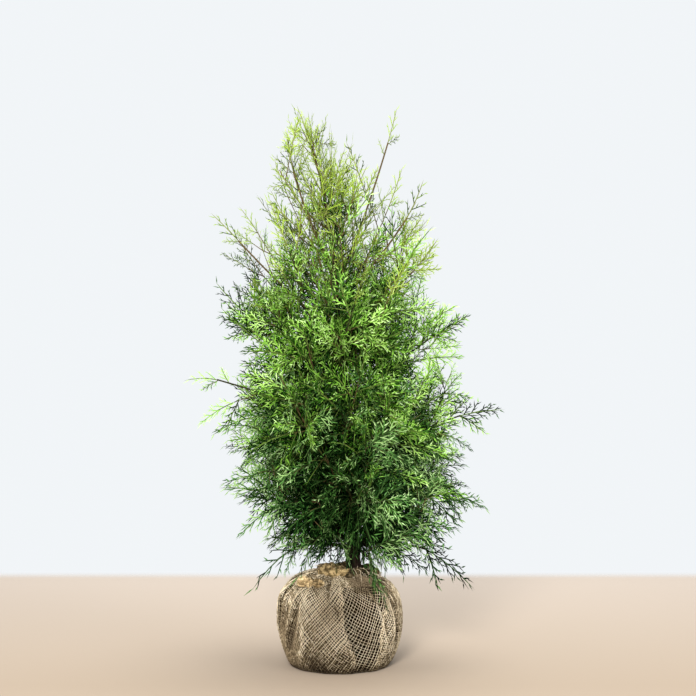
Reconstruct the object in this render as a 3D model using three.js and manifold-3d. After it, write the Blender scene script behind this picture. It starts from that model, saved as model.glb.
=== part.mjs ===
// An arborvitae sapling that stands on its hessian-wrapped root ball.
// Millimetres, +Z up, origin at the middle of the ball's flat underside, the front faces -Y.
import * as THREE from "three";
import { mergeVertices } from "three/addons/utils/BufferGeometryUtils.js";
import Module from "manifold-3d";

const wasm = await Module();
wasm.setup();

// Driving dimensions.
const clearance = 0.3; // between a piece and what carries it
const ball = {
  height: 204,
  outline: [[105, 0], [117, 8], [130, 42], [137, 92], [137, 130], [129, 162], [105, 187], [66, 204]],
  sides: 40,
  rings: 9,
  pleats: 9,
  pleatDepth: 3.4,
  bulge: 3,
  shoulder: { push: 5, height: 160, spread: 30, toward: 195 },
};
const collar = {
  middle: [12, 4],
  inner: 45,
  outer: 55,
  flareOut: 5,
  height: 12,
  flap: 13,
  flapToward: 235,
  ruffle: 1.6,
  sides: 32,
};
const knots = [
  { name: "hessian_knot_left", toward: 230, out: 100, long: 30, wide: 15, high: 13 },
  { name: "hessian_knot_back", toward: 48, out: 96, long: 27, wide: 15, high: 12 },
];
const knotHeight = 191;
const knotLumps = { lump: 0.12, waist: 0.28, waistSharpness: 3.2 };
const trunk = {
  foot: 204.3,
  tip: 1100,
  plantTop: 1259,
  offset: 32,
  lean: 60,
  nod: 66,
  sway: 9,
  footRadius: 14.5,
  tipRadius: 2.2,
  flare: 5,
  flareHeight: 26,
  crowding: 1.25, // above 1, the rings stand closer at the foot
};
const bough = { rootRadius: 4.8, endRadius: 2.6, tipRadius: 1.7, archLow: 75, archHigh: -60 };
const twig = { radius: 1.15, length: 56, spacing: 90, spread: 0.85, turns: 9 };
const spray = {
  length: 134,
  topLength: 98,
  sideShare: 0.7,
  tipShare: 0.9,
  ribEnd: 0.4,
  radius: 0.6,
  thickness: 3,
};
const space = 1.5; // kept between a new spray and all that stands
const fineness = 0.02; // ripples smaller than this are smoothed away
const crownOutline = [[225, 160], [300, 330], [335, 560], [310, 800], [270, 1010], [170, 1130], [140, 1262]];

// Each row is one limb: where it leaves the trunk, its compass direction in degrees (0 is right, 90 back),
// how far out and how high its furthest tip stands, and the share of it that is a bare bough.
const limbRows = [
  { name: "skirt_right", from: 262, toward: 352, reach: 272, tip: 208, bare: 0.32 },
  { name: "skirt_front_right", from: 252, toward: 293, reach: 190, tip: 176, bare: 0.34 },
  { name: "skirt_front_left", from: 272, toward: 236, reach: 222, tip: 280, bare: 0.32 },
  { name: "skirt_left", from: 256, toward: 187, reach: 236, tip: 212, bare: 0.32 },
  { name: "skirt_back_left", from: 270, toward: 128, reach: 248, tip: 226, bare: 0.32 },
  { name: "skirt_back_right", from: 258, toward: 58, reach: 250, tip: 215, bare: 0.32 },
  { name: "lower_right", from: 335, toward: 7, reach: 322, tip: 372, bare: 0.3 },
  { name: "lower_front", from: 352, toward: 285, reach: 300, tip: 362, bare: 0.3 },
  { name: "lower_left", from: 345, toward: 196, reach: 268, tip: 335, bare: 0.3 },
  { name: "lower_back_left", from: 362, toward: 148, reach: 280, tip: 395, bare: 0.3 },
  { name: "lower_back", from: 342, toward: 88, reach: 278, tip: 372, bare: 0 },
  { name: "middle_right", from: 440, toward: 354, reach: 352, tip: 590, bare: 0.3 },
  { name: "middle_front", from: 455, toward: 306, reach: 284, tip: 552, bare: 0.28 },
  { name: "middle_front_left", from: 472, toward: 236, reach: 284, tip: 566, bare: 0.28 },
  { name: "middle_left", from: 450, toward: 172, reach: 288, tip: 515, bare: 0.3 },
  { name: "middle_back", from: 466, toward: 108, reach: 280, tip: 590, bare: 0.28 },
  { name: "middle_back_right", from: 450, toward: 48, reach: 282, tip: 555, bare: 0.28 },
  { name: "long_left", from: 545, toward: 187, reach: 386, tip: 668, bare: 0.32 },
  { name: "high_right", from: 592, toward: 12, reach: 292, tip: 800, bare: 0.26 },
  { name: "high_front", from: 606, toward: 268, reach: 246, tip: 775, bare: 0 },
  { name: "high_left", from: 640, toward: 168, reach: 298, tip: 802, bare: 0.26 },
  { name: "high_back", from: 600, toward: 88, reach: 245, tip: 805, bare: 0 },
  { name: "upper_right", from: 746, toward: 350, reach: 232, tip: 955, bare: 0.24 },
  { name: "upper_front", from: 772, toward: 250, reach: 180, tip: 985, bare: 0 },
  { name: "upper_left", from: 740, toward: 190, reach: 290, tip: 1018, bare: 0.24 },
  { name: "upper_back", from: 762, toward: 80, reach: 195, tip: 1012, bare: 0 },
  { name: "right_leader", from: 852, toward: 14, reach: 145, tip: 1262, bare: 0.24 },
  { name: "right_shoot", from: 818, toward: 334, reach: 222, tip: 1072, bare: 0.24 },
  { name: "left_shoot", from: 872, toward: 200, reach: 125, tip: 1188, bare: 0.24 },
];
const leaderRow = { name: "leader", tip: trunk.plantTop, bare: 0, seed: 7 };
const firstSeed = 11;

const up = new THREE.Vector3(0, 0, 1);
const goldenAngle = Math.PI * (3 - Math.sqrt(5));
const { lerp, clamp, degToRad } = THREE.MathUtils;

// Repeatable random numbers from 0 to 1.
function seeded(seed) {
  let state = seed >>> 0;
  return () => {
    state = (Math.imul(state, 1664525) + 1013904223) >>> 0;
    return state / 2 ** 32;
  };
}

function toSolid(geometry) {
  geometry.deleteAttribute("normal");
  geometry.deleteAttribute("uv");
  const merged = mergeVertices(geometry, 1e-4);
  const vertProperties = merged.attributes.position.array;
  const triVerts = Uint32Array.from(merged.index.array);
  return new wasm.Manifold(new wasm.Mesh({ numProp: 3, vertProperties, triVerts }));
}

function toGeometry(solid) {
  const mesh = solid.getMesh();
  const geometry = new THREE.BufferGeometry();
  geometry.setAttribute("position", new THREE.BufferAttribute(mesh.vertProperties, 3));
  geometry.setIndex(new THREE.BufferAttribute(mesh.triVerts, 1));
  return geometry;
}

// The largest body of a solid: its sealed hollows are filled and loose scraps dropped.
function wholeBody(solid) {
  const bodies = solid.simplify(fineness).decompose();
  return bodies.sort((a, b) => b.volume() - a.volume())[0];
}

function movedVertices(geometry, move) {
  const spots = geometry.attributes.position;
  const spot = new THREE.Vector3();
  for (let i = 0; i < spots.count; i++) {
    spot.fromBufferAttribute(spots, i);
    move(spot);
    spots.setXYZ(i, spot.x, spot.y, spot.z);
  }
  return geometry;
}

// Trunk.
function trunkShare(z) {
  return clamp((z - trunk.foot) / (trunk.plantTop - trunk.foot), 0, 1);
}

function trunkMiddle(z) {
  const u = trunkShare(z);
  const x = trunk.offset - trunk.lean * u - trunk.nod * u ** 5.7;
  return new THREE.Vector3(x, trunk.sway * Math.sin(2 * Math.PI * u), z);
}

function trunkRadius(z) {
  const taper = lerp(trunk.footRadius, trunk.tipRadius, (z - trunk.foot) / (trunk.tip - trunk.foot));
  return taper + trunk.flare * Math.exp(-(z - trunk.foot) / trunk.flareHeight);
}

function trunkGeometry(extra) {
  const geometry = new THREE.CylinderGeometry(1, 1, 1, 9, 16);
  return movedVertices(geometry, (spot) => {
    const share = (spot.y + 0.5) ** trunk.crowding;
    const z = lerp(trunk.foot, trunk.tip, share);
    const radius = trunkRadius(z) + extra;
    const [across, along] = [spot.z * radius, spot.x * radius];
    spot.copy(trunkMiddle(z)).add(new THREE.Vector3(across, along, 0));
  });
}

// A limb runs from the trunk's middle to its tip in one upright plane. Low limbs arch over and
// droop, high ones sweep upwards.
function limbPath(row) {
  const angle = degToRad(row.toward);
  const outward = new THREE.Vector3(Math.cos(angle), Math.sin(angle), 0);
  const root = trunkMiddle(row.from);
  const tip = root.clone().addScaledVector(outward, row.reach).setZ(row.tip);
  const arch = lerp(bough.archLow, bough.archHigh, trunkShare(row.from) * 1.5);
  const bend = root.clone().lerp(tip, 0.5).addScaledVector(up, arch);
  const curve = new THREE.QuadraticBezierCurve3(root, bend, tip);
  return { curve, across: new THREE.Vector3().crossVectors(outward, up), length: curve.getLength() };
}

function leaderPath() {
  const root = trunkMiddle(trunk.tip + clearance);
  const tip = trunkMiddle(trunk.plantTop);
  const curve = new THREE.QuadraticBezierCurve3(root, trunkMiddle((root.z + tip.z) / 2), tip);
  return { curve, across: new THREE.Vector3(0, 1, 0), length: curve.getLength() };
}

// A tapering round bar along a share of a curve; `across` is a unit vector square to the curve.
function barGeometry(path, start, end, radiusAt, sides, steps) {
  const geometry = new THREE.CylinderGeometry(1, 1, 1, sides, steps);
  return movedVertices(geometry, (spot) => {
    const along = lerp(start, end, spot.y + 0.5);
    const other = new THREE.Vector3().crossVectors(path.across, path.curve.getTangentAt(along));
    const radius = radiusAt(along);
    const [a, b] = [spot.x * radius, spot.z * radius];
    spot.copy(path.curve.getPointAt(along)).addScaledVector(path.across, a).addScaledVector(other, b);
  });
}

function limbRadius(row, along) {
  if (along < row.bare) return lerp(bough.rootRadius, bough.endRadius, along / row.bare);
  return lerp(bough.endRadius, bough.tipRadius, (along - row.bare) / (1 - row.bare));
}

// Every piece that stands so far. A new one keeps `space` clear of all but the piece it grows from.
const standing = [];

function boxesNear(a, b) {
  return [0, 1, 2].every((k) => a.min[k] - space < b.max[k] && b.min[k] - space < a.max[k]);
}

function stand(solid) {
  const piece = { solid, box: solid.boundingBox() };
  standing.push(piece);
  return piece;
}

// The crown's half width at a height, about the ball's axis.
function crownRadius(z) {
  const above = Math.max(1, crownOutline.findIndex(([, height]) => height > z));
  const [[r0, z0], [r1, z1]] = [crownOutline[above - 1], crownOutline[above]];
  return lerp(r0, r1, clamp((z - z0) / (z1 - z0), 0, 1));
}

function insideCrown(geometry) {
  const spots = geometry.attributes.position;
  const spot = new THREE.Vector3();
  return [...Array(spots.count).keys()].every((i) => {
    spot.fromBufferAttribute(spots, i);
    return spot.z < trunk.plantTop && Math.hypot(spot.x, spot.y) < crownRadius(spot.z);
  });
}

function standIfClear(geometry, parent) {
  const solid = toSolid(geometry);
  const box = solid.boundingBox();
  const touches = (other) => boxesNear(box, other.box) && solid.minGap(other.solid, space) < space;
  return standing.some((other) => other !== parent && touches(other)) ? null : stand(solid);
}

// A spray of scale leaves is one closed body: a toothed blade with a midrib, on a three-sided stalk where it
// has one. The teeth are shares of the blade's length, along and out from the midrib.
const fullTeeth = [[0.31, 0.25], [0.38, 0.075], [0.58, 0.26], [0.55, 0.075], [0.81, 0.18], [0.77, 0.05]];
const smallTeeth = [[0.4, 0.28], [0.45, 0.08], [0.75, 0.21], [0.7, 0.05]];

function sprayGeometry(teeth, root, direction, across, stalk, radius, length) {
  const ring = (x, r) => [[x, -r, 0], [x, 0, r], [x, r, 0]];
  const rings = stalk > 0 ? [...ring(0, radius), ...ring(stalk, 0.75 * radius)] : ring(0, radius);
  const front = rings.length;
  const [back, right, top, left] = [front + 1, front - 3, front - 2, front - 1];
  const rib = stalk + spray.ribEnd * length;
  const ribEnds = [[rib, 0, spray.thickness / 2], [rib, 0, -spray.thickness / 2]];
  const edge = (side) => teeth.map(([along, out]) => [stalk + along * length, side * out * length, 0]);
  const spots = [...rings, ...ribEnds, ...edge(-1), [stalk + length, 0, 0], ...edge(1).reverse()];
  const faces = [0, 1, 2, front, top, right, front, left, top, back, right, left];
  if (stalk > 0) faces.push(0, 3, 1, 1, 3, 4, 1, 4, 2, 2, 4, 5, 2, 5, 0, 0, 5, 3);
  const rim = [right, ...spots.keys()].filter((i, k) => k === 0 || i > back).concat(left);
  rim.slice(1).forEach((next, i) => faces.push(front, rim[i], next, back, next, rim[i]));
  const geometry = new THREE.BufferGeometry();
  geometry.setAttribute("position", new THREE.Float32BufferAttribute(spots.flat(), 3));
  geometry.setIndex(faces);
  const face = new THREE.Vector3().crossVectors(direction, across);
  return geometry.applyMatrix4(new THREE.Matrix4().makeBasis(direction, across, face).setPosition(root));
}

// A unit vector square to the direction, upright when the roll is 0.
function acrossOf(direction, roll) {
  const across = up.clone().addScaledVector(direction, -direction.z);
  return across.normalize().applyAxisAngle(direction, roll);
}

// A side twig is a long-stalked spray with a smaller spray on each side of its stalk, all in one plane.
function growTwig(limb, root, direction, length, roll) {
  const across = acrossOf(direction, roll);
  const leaf = limb.leaf * lerp(0.85, 1.1, limb.random());
  const geometry = sprayGeometry(fullTeeth, root, direction, across, length, twig.radius, leaf);
  const main = insideCrown(geometry) ? standIfClear(geometry, limb.stem) : null;
  if (!main) return false;
  limb.pieces.push(main);
  for (const side of [-1, 1]) {
    const from = root.clone().addScaledVector(direction, length * (side < 0 ? 0.3 : 0.42));
    const turn = side * degToRad(lerp(54, 62, limb.random()));
    const outward = direction.clone().multiplyScalar(Math.cos(turn)).addScaledVector(across, Math.sin(turn));
    const square = across.clone().multiplyScalar(Math.cos(turn)).addScaledVector(direction, -Math.sin(turn));
    const share = spray.sideShare * lerp(0.85, 1.1, limb.random());
    const small = sprayGeometry(smallTeeth, from, outward, square, 0, spray.radius, leaf * share);
    const added = insideCrown(small) ? standIfClear(small, main) : null;
    if (added) limb.pieces.push(added);
  }
  return true;
}

// One more side twig on a limb, in the first of a few turns about the stem where there is room.
function growNextTwig(limb, i) {
  const { row, path } = limb;
  const along = lerp(row.bare, limb.stemEnd, (i + 0.3 + 0.5 * limb.random()) / limb.twigs);
  const root = path.curve.getPointAt(along);
  const tangent = path.curve.getTangentAt(along);
  const length = twig.length * lerp(1.1, 0.6, i / limb.twigs) * lerp(0.8, 1.15, limb.random());
  const roll = lerp(-0.8, 0.8, limb.random());
  for (let turn = 0; turn < twig.turns; turn++) {
    const angle = i * goldenAngle + row.seed + (turn * 2 * Math.PI) / twig.turns;
    const side = path.across.clone().applyAxisAngle(tangent, angle);
    const direction = tangent.clone().multiplyScalar(Math.cos(twig.spread));
    direction.addScaledVector(side, Math.sin(twig.spread)).addScaledVector(up, limb.lift).normalize();
    if (growTwig(limb, root, direction, length, roll)) return;
  }
}

// The stem of a mass runs on from its bough, or from the trunk, to the blade at its tip.
function growStem(limb) {
  const { row, path } = limb;
  const start = row.bare > 0 ? row.bare + clearance / path.length : 0;
  limb.stemEnd = 1 - (spray.tipShare * limb.leaf) / path.length;
  const bar = toSolid(barGeometry(path, start, limb.stemEnd, (along) => limbRadius(row, along), 4, 4));
  limb.stem = stand(bar);
  limb.pieces = [limb.stem];
}

function growTip(limb) {
  const root = limb.path.curve.getPointAt(limb.stemEnd - 3 / limb.path.length);
  const direction = limb.path.curve.getPointAt(1).sub(root);
  const length = direction.length();
  direction.normalize();
  const across = acrossOf(direction, 0.3);
  const geometry = sprayGeometry(fullTeeth, root, direction, across, 0, spray.radius, length);
  const tip = standIfClear(geometry, limb.stem);
  if (tip) limb.pieces.push(tip);
}

// Root ball: a bulging turned body with a flat underside, its cloth drawn in pleats to the top.
function ballGeometry(extra) {
  const curve = new THREE.SplineCurve(ball.outline.map(([r, z]) => new THREE.Vector2(r + extra, z + extra)));
  const top = ball.height + extra;
  const profile = [new THREE.Vector2(0, extra), ...curve.getPoints(ball.rings), new THREE.Vector2(0, top)];
  const geometry = new THREE.LatheGeometry(profile, ball.sides);
  return movedVertices(geometry, (spot) => {
    const angle = Math.atan2(spot.x, spot.z);
    const radius = Math.hypot(spot.x, spot.z);
    const height = clamp(spot.y / ball.height, 0, 1);
    const gather = Math.max(0, height - 0.3) / 0.7;
    const pleat = ball.pleatDepth * gather * Math.sin(ball.pleats * angle + 3 * height);
    const bulge = ball.bulge * Math.sin(Math.PI * height) * Math.sin(2 * angle + 1.2 + 2 * height);
    const { push, height: level, spread, toward } = ball.shoulder;
    const facing = Math.max(0, Math.cos(angle - degToRad(toward)));
    const shoulder = push * facing * Math.exp(-(((spot.y - level) / spread) ** 2));
    const grown = radius > 1 ? radius + pleat + bulge + shoulder : radius;
    spot.set(grown * Math.cos(angle), grown * Math.sin(angle), spot.y);
  });
}

// The gathered edge of the cloth stands round the trunk as a low frill, with a taller flap at the front left.
function collarGeometry() {
  const { inner, outer, flareOut } = collar;
  const corners = [[inner, 0], [outer, 0], [outer + flareOut, 1], [inner + flareOut, 1], [inner, 0]];
  const profile = corners.map(([r, z]) => new THREE.Vector2(r, z));
  const geometry = new THREE.LatheGeometry(profile, collar.sides);
  return movedVertices(geometry, (spot) => {
    const angle = Math.atan2(spot.x, spot.z);
    const ruffle = Math.sin(7 * angle) + 0.5 * Math.sin(12 * angle + 1);
    const radius = Math.hypot(spot.x, spot.z) + collar.ruffle * ruffle * (0.4 + 0.6 * spot.y);
    const flap = Math.max(0, Math.cos(angle - degToRad(collar.flapToward))) ** 2;
    const height = collar.height + collar.flap * flap + 3 * Math.sin(5 * angle);
    const [x, y] = [radius * Math.cos(angle), radius * Math.sin(angle)];
    spot.set(collar.middle[0] + x, collar.middle[1] + y, ball.height + clearance + height * spot.y);
  });
}

// Two opposite corners of the cloth are tied in lumpy knots that rest on the shoulder.
function knotGeometry(knot) {
  const angle = degToRad(knot.toward);
  const geometry = new THREE.SphereGeometry(1, 10, 7);
  movedVertices(geometry, (spot) => {
    const lump = 1 + knotLumps.lump * Math.sin(4 * spot.x + 2 * spot.y) * Math.cos(5 * spot.z);
    const waist = 1 - knotLumps.waist * Math.exp(-((knotLumps.waistSharpness * spot.x) ** 2));
    const girth = waist * lump;
    spot.set(spot.x * knot.long, -spot.z * knot.wide * girth, spot.y * knot.high * girth);
  });
  geometry.rotateZ(angle + Math.PI / 2 + 0.5);
  return geometry.translate(knot.out * Math.cos(angle), knot.out * Math.sin(angle), knotHeight);
}

function material(color, roughness) {
  return new THREE.MeshStandardMaterial({ color, roughness, metalness: 0, flatShading: true });
}

function namedMesh(name, geometry, surface) {
  const mesh = new THREE.Mesh(geometry, surface);
  mesh.name = name;
  return mesh;
}

const hessianCloth = () => material(0x9a8257, 0.95);
const barkWood = () => material(0x4a3426, 0.9);
const [lowGreen, highGreen] = [new THREE.Color(0x2c5a22), new THREE.Color(0x8cb53a)];
const leafGreen = (height) => material(lowGreen.clone().lerp(highGreen, height), 0.7);

function buildRootBall() {
  const group = new THREE.Group();
  group.add(namedMesh("root_ball", ballGeometry(0), hessianCloth()));
  group.add(namedMesh("hessian_collar", collarGeometry(), hessianCloth()));
  const ballRoom = toSolid(ballGeometry(clearance));
  for (const knot of knots) {
    const seated = wholeBody(toSolid(knotGeometry(knot)).subtract(ballRoom));
    group.add(namedMesh(knot.name, toGeometry(seated), hessianCloth()));
  }
  return group;
}

function limbOf(row, path, seed) {
  const height = trunkShare(row.tip);
  const leaf = lerp(spray.length, spray.topLength, height);
  const twigs = Math.round(((1 - row.bare) * path.length) / twig.spacing) + 1;
  const random = seeded(seed);
  return { row: { ...row, seed }, path, height, leaf, twigs, random, lift: lerp(-0.12, 0.5, height) };
}

function buildBough(limb, trunkRoom) {
  const { row, path } = limb;
  const bar = toSolid(barGeometry(path, 0, row.bare, (along) => limbRadius(row, along), 5, 3));
  const piece = stand(wholeBody(bar.subtract(trunkRoom)));
  return namedMesh(`${row.name}_bough`, toGeometry(piece.solid), barkWood());
}

function buildMass(limb, trunkRoom) {
  const fused = wasm.Manifold.union(limb.pieces.map((piece) => piece.solid));
  const mass = wholeBody(fused.subtract(trunkRoom));
  return namedMesh(`${limb.row.name}_foliage`, toGeometry(mass), leafGreen(limb.height));
}

// Boughs and stems stand first, then the sprays at the tips, and then the twigs, one on each limb in turn.
function buildPlant() {
  const group = new THREE.Group();
  group.add(namedMesh("trunk", trunkGeometry(0), barkWood()));
  const trunkRoom = toSolid(trunkGeometry(clearance));
  const limbs = limbRows.map((row, i) => limbOf(row, limbPath(row), firstSeed + i));
  limbs.push(limbOf(leaderRow, leaderPath(), leaderRow.seed));
  stand(trunkRoom);
  [ballGeometry(0), collarGeometry(), ...knots.map(knotGeometry)].forEach((shape) => stand(toSolid(shape)));
  limbs.filter((limb) => limb.row.bare > 0).forEach((limb) => group.add(buildBough(limb, trunkRoom)));
  limbs.forEach(growStem);
  limbs.forEach(growTip);
  for (let i = 0; i < Math.max(...limbs.map((limb) => limb.twigs)); i++) {
    limbs.filter((limb) => i < limb.twigs).forEach((limb) => growNextTwig(limb, i));
  }
  limbs.forEach((limb) => group.add(buildMass(limb, trunkRoom)));
  return group;
}

const sapling = new THREE.Group();
sapling.add(buildRootBall(), buildPlant());

export default sapling;
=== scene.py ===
# An arborvitae sapling on its hessian-wrapped root ball.
# Growth is worked out in millimetres, as in the part's source, and meshes are made in metres.
import math
import bpy
import numpy as np
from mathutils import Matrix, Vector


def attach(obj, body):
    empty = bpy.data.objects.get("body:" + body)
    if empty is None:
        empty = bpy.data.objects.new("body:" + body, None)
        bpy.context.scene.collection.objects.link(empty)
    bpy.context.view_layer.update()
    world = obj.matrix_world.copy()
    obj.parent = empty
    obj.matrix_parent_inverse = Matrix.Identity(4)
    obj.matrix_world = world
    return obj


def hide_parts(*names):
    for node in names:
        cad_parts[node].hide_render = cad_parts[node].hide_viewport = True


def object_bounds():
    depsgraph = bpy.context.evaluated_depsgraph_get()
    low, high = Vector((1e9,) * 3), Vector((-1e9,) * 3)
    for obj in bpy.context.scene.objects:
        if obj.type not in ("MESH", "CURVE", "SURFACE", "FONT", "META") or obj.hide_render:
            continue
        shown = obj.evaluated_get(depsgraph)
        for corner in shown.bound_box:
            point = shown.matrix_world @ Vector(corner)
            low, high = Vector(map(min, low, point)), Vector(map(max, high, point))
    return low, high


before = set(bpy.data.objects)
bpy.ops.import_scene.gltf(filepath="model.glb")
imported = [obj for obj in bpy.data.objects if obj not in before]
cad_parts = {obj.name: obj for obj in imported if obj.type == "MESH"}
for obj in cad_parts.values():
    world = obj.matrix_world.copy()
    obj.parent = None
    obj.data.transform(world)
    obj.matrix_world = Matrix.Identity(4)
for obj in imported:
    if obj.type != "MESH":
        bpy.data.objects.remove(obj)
cadBox = [list(corner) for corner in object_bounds()]
metre = 0.001
up = np.array([0.0, 0.0, 1.0])
goldenAngle = math.pi * (3 - math.sqrt(5))


def lerp(a, b, share):
    return a + (b - a) * share


def unit(vector):
    return vector / np.linalg.norm(vector, axis=-1, keepdims=True)


def seededNumbers(seed):
    state = seed
    while True:
        state = (state * 1664525 + 1013904223) % 2 ** 32
        yield state / 2 ** 32


def turned(vector, axis, angle):
    return (vector * math.cos(angle) + np.cross(axis, vector) * math.sin(angle)
            + axis * np.dot(axis, vector) * (1 - math.cos(angle)))


def outwardAt(angle):
    return np.array([math.cos(angle), math.sin(angle), 0])


# Meshes are piled up from arrays of corners and triangles, each with the number of its tint.
class Pile:
    def __init__(self):
        self.corners, self.triangles, self.tints, self.count = [], [], [], 0

    def add(self, corners, triangles, tint=0):
        self.corners.append(np.asarray(corners, float).reshape(-1, 3))
        self.triangles.append(np.asarray(triangles).reshape(-1, 3) + self.count)
        self.tints.append(np.broadcast_to(tint, len(self.triangles[-1])))
        self.count += len(self.corners[-1])

    def size(self):
        return sum(len(some) for some in self.triangles)

    def build(self, name, materials, smooth=False):
        mesh = bpy.data.meshes.new(name)
        corners = np.concatenate(self.corners) * metre
        triangles = np.concatenate(self.triangles)
        mesh.vertices.add(len(corners))
        mesh.vertices.foreach_set("co", corners.astype(np.float32).ravel())
        mesh.loops.add(triangles.size)
        mesh.loops.foreach_set("vertex_index", triangles.astype(np.int32).ravel())
        mesh.polygons.add(len(triangles))
        mesh.polygons.foreach_set("loop_start", np.arange(0, triangles.size, 3, dtype=np.int32))
        for material in materials:
            mesh.materials.append(material)
        mesh.polygons.foreach_set("material_index", np.concatenate(self.tints).astype(np.int32))
        mesh.update(calc_edges=True)
        mesh.validate()
        if smooth:
            mesh.shade_smooth()
        else:
            mesh.shade_flat()
        piece = bpy.data.objects.new(name, mesh)
        bpy.context.scene.collection.objects.link(piece)
        return piece


# The triangles between the rings of a tube, with a fan at each end about a middle corner.
def tubeTriangles(rings, sides):
    ring, side = np.meshgrid(np.arange(rings - 1), np.arange(sides), indexing="ij")
    a, b = ring * sides + side, ring * sides + (side + 1) % sides
    walls = np.stack([a, b, b + sides, a, b + sides, a + sides], axis=-1).reshape(-1, 3)
    footMiddle, headMiddle, lastRing = rings * sides, rings * sides + 1, (rings - 1) * sides
    k = np.arange(sides)
    foot = np.stack([np.full(sides, footMiddle), (k + 1) % sides, k], axis=-1)
    head = np.stack([np.full(sides, headMiddle), lastRing + k, lastRing + (k + 1) % sides], axis=-1)
    return np.concatenate([walls, foot, head])


# A round bar through points, thinner or thicker by `radii`.
def addTube(pile, points, radii, sides, tint=0, flat=1.0, outward=None):
    points = np.asarray(points, float)
    radii = np.broadcast_to(radii, len(points))[:, None, None]
    tangent = unit(np.gradient(points, axis=0))
    guide = up if outward is None else outward
    across = np.cross(tangent, guide)
    short = np.linalg.norm(across, axis=1) < 0.05
    across[short] = np.cross(tangent[short], [0.3, 1, 0])
    across = unit(across)
    other = np.cross(across, tangent)
    angle = np.arange(sides) * 2 * math.pi / sides + math.pi / 2
    ring = (np.cos(angle)[None, :, None] * across[:, None] + np.sin(angle)[None, :, None] * other[:, None] * flat)
    corners = points[:, None] + ring * radii
    corners = np.concatenate([corners.reshape(-1, 3), points[:1], points[-1:]])
    pile.add(corners, tubeTriangles(len(points), sides)[:, ::-1], tint)


# Shader maths is written as expressions on wrapped sockets.
class Field:
    def __init__(self, finish, socket):
        self.finish, self.socket = finish, socket

    def math(self, operation, first, second):
        return self.finish.add("ShaderNodeMath", {"operation": operation}, {0: first, 1: second})

    def __add__(self, other):
        return self.math("ADD", self, other)

    def __radd__(self, other):
        return self.math("ADD", other, self)

    def __sub__(self, other):
        return self.math("SUBTRACT", self, other)

    def __rsub__(self, other):
        return self.math("SUBTRACT", other, self)

    def __mul__(self, other):
        return self.math("MULTIPLY", self, other)

    def __rmul__(self, other):
        return self.math("MULTIPLY", other, self)


class Finish:
    def __init__(self, name, color=(0.5, 0.5, 0.5), roughness=0.7, specular=0.3):
        self.material = bpy.data.materials.new(name)
        self.material.use_nodes = True
        self.nodes, self.links = self.material.node_tree.nodes, self.material.node_tree.links
        self.shader = self.nodes["Principled BSDF"]
        self.shader.inputs["Base Color"].default_value = (*color, 1)
        self.shader.inputs["Roughness"].default_value = roughness
        self.shader.inputs["Specular IOR Level"].default_value = specular
        self.material.diffuse_color = (*color, 1)

    def add(self, kind, settings=None, inputs=None, output=0):
        node = self.nodes.new(kind)
        for key, value in (settings or {}).items():
            if key == "stops":
                while len(node.color_ramp.elements) < len(value):
                    node.color_ramp.elements.new(0.5)
                for element, (place, color) in zip(node.color_ramp.elements, value):
                    element.position, element.color = place, (*color, 1)
            else:
                setattr(node, key, value)
        for key, value in (inputs or {}).items():
            self.feed(node.inputs[key], value)
        return Field(self, node.outputs[output])

    def feed(self, socket, value):
        if isinstance(value, Field):
            self.links.new(value.socket, socket)
        elif isinstance(value, (tuple, list)) and len(value) == 3 and socket.type == "RGBA":
            socket.default_value = (*value, 1)
        else:
            socket.default_value = value

    def place(self, stretch=(1, 1, 1)):
        spot = self.add("ShaderNodeTexCoord", output="Object")
        return self.add("ShaderNodeVectorMath", {"operation": "MULTIPLY"}, {0: spot, 1: stretch})

    def noise(self, scale, detail=3, stretch=(1, 1, 1)):
        return self.add("ShaderNodeTexNoise", {}, {"Vector": self.place(stretch), "Scale": scale, "Detail": detail})

    def range(self, value, low, high, newLow=0.0, newHigh=1.0):
        return self.add("ShaderNodeMapRange", {}, {"Value": value, "From Min": low, "From Max": high,
                                                  "To Min": newLow, "To Max": newHigh})

    def mix(self, factor, first, second):
        return self.add("ShaderNodeMix", {"data_type": "RGBA"}, {0: factor, 6: first, 7: second}, output=2)

    def color(self, value):
        self.feed(self.shader.inputs["Base Color"], value)

    def rough(self, value):
        self.feed(self.shader.inputs["Roughness"], value)

    def bump(self, height, strength, distance):
        normal = self.add("ShaderNodeBump", {}, {"Height": height, "Strength": strength, "Distance": distance})
        self.feed(self.shader.inputs["Normal"], normal)


# Every piece rides on the one body and stands in for its solids.
def finishPiece(piece, slotName, *nodes):
    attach(piece, "root")
    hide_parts(*nodes)


# Camera: a long lens at the height of the plant's middle.
view = {"place": (0.018, -2.875, 0.661), "upDegrees": 1.04, "lens": 65.4}
cameraData = bpy.data.cameras.new("camera")
cameraData.lens, cameraData.sensor_width = view["lens"], 36
camera = bpy.data.objects.new("camera", cameraData)
camera.location = view["place"]
camera.rotation_euler = (math.radians(90 + view["upDegrees"]), 0, 0)
bpy.context.scene.collection.objects.link(camera)
bpy.context.scene.camera = camera
bpy.context.scene.view_settings.view_transform = "Standard"
print("camera placed")

# Studio: a pale floor that fades into the pale room behind, and large soft lights.
studio = {
    "room": (0.883, 0.912, 0.935), "roomStrength": 1.0,
    "floorNear": (0.337, 0.267, 0.202), "floorFar": (0.482, 0.405, 0.340), "nearDepth": -0.2, "farDepth": 1.1,
    "floorHalf": 1.5, "fadeFrom": 1.15, "fadeTo": 1.3, "aimHeight": 0.6,
    "lights": [  # name, place, size, power, colour
        ("keyLight", (-0.6, -3.5, 2.0), 1.1, 225, (1.0, 0.98, 0.94)),
        ("fillLight", (2.4, -2.0, 1.9), 2.0, 30, (0.95, 0.98, 1.0)),
        ("topLight", (0.3, 0.3, 3.4), 1.8, 72, (1.0, 1.0, 0.98)),
    ],
}


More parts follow.
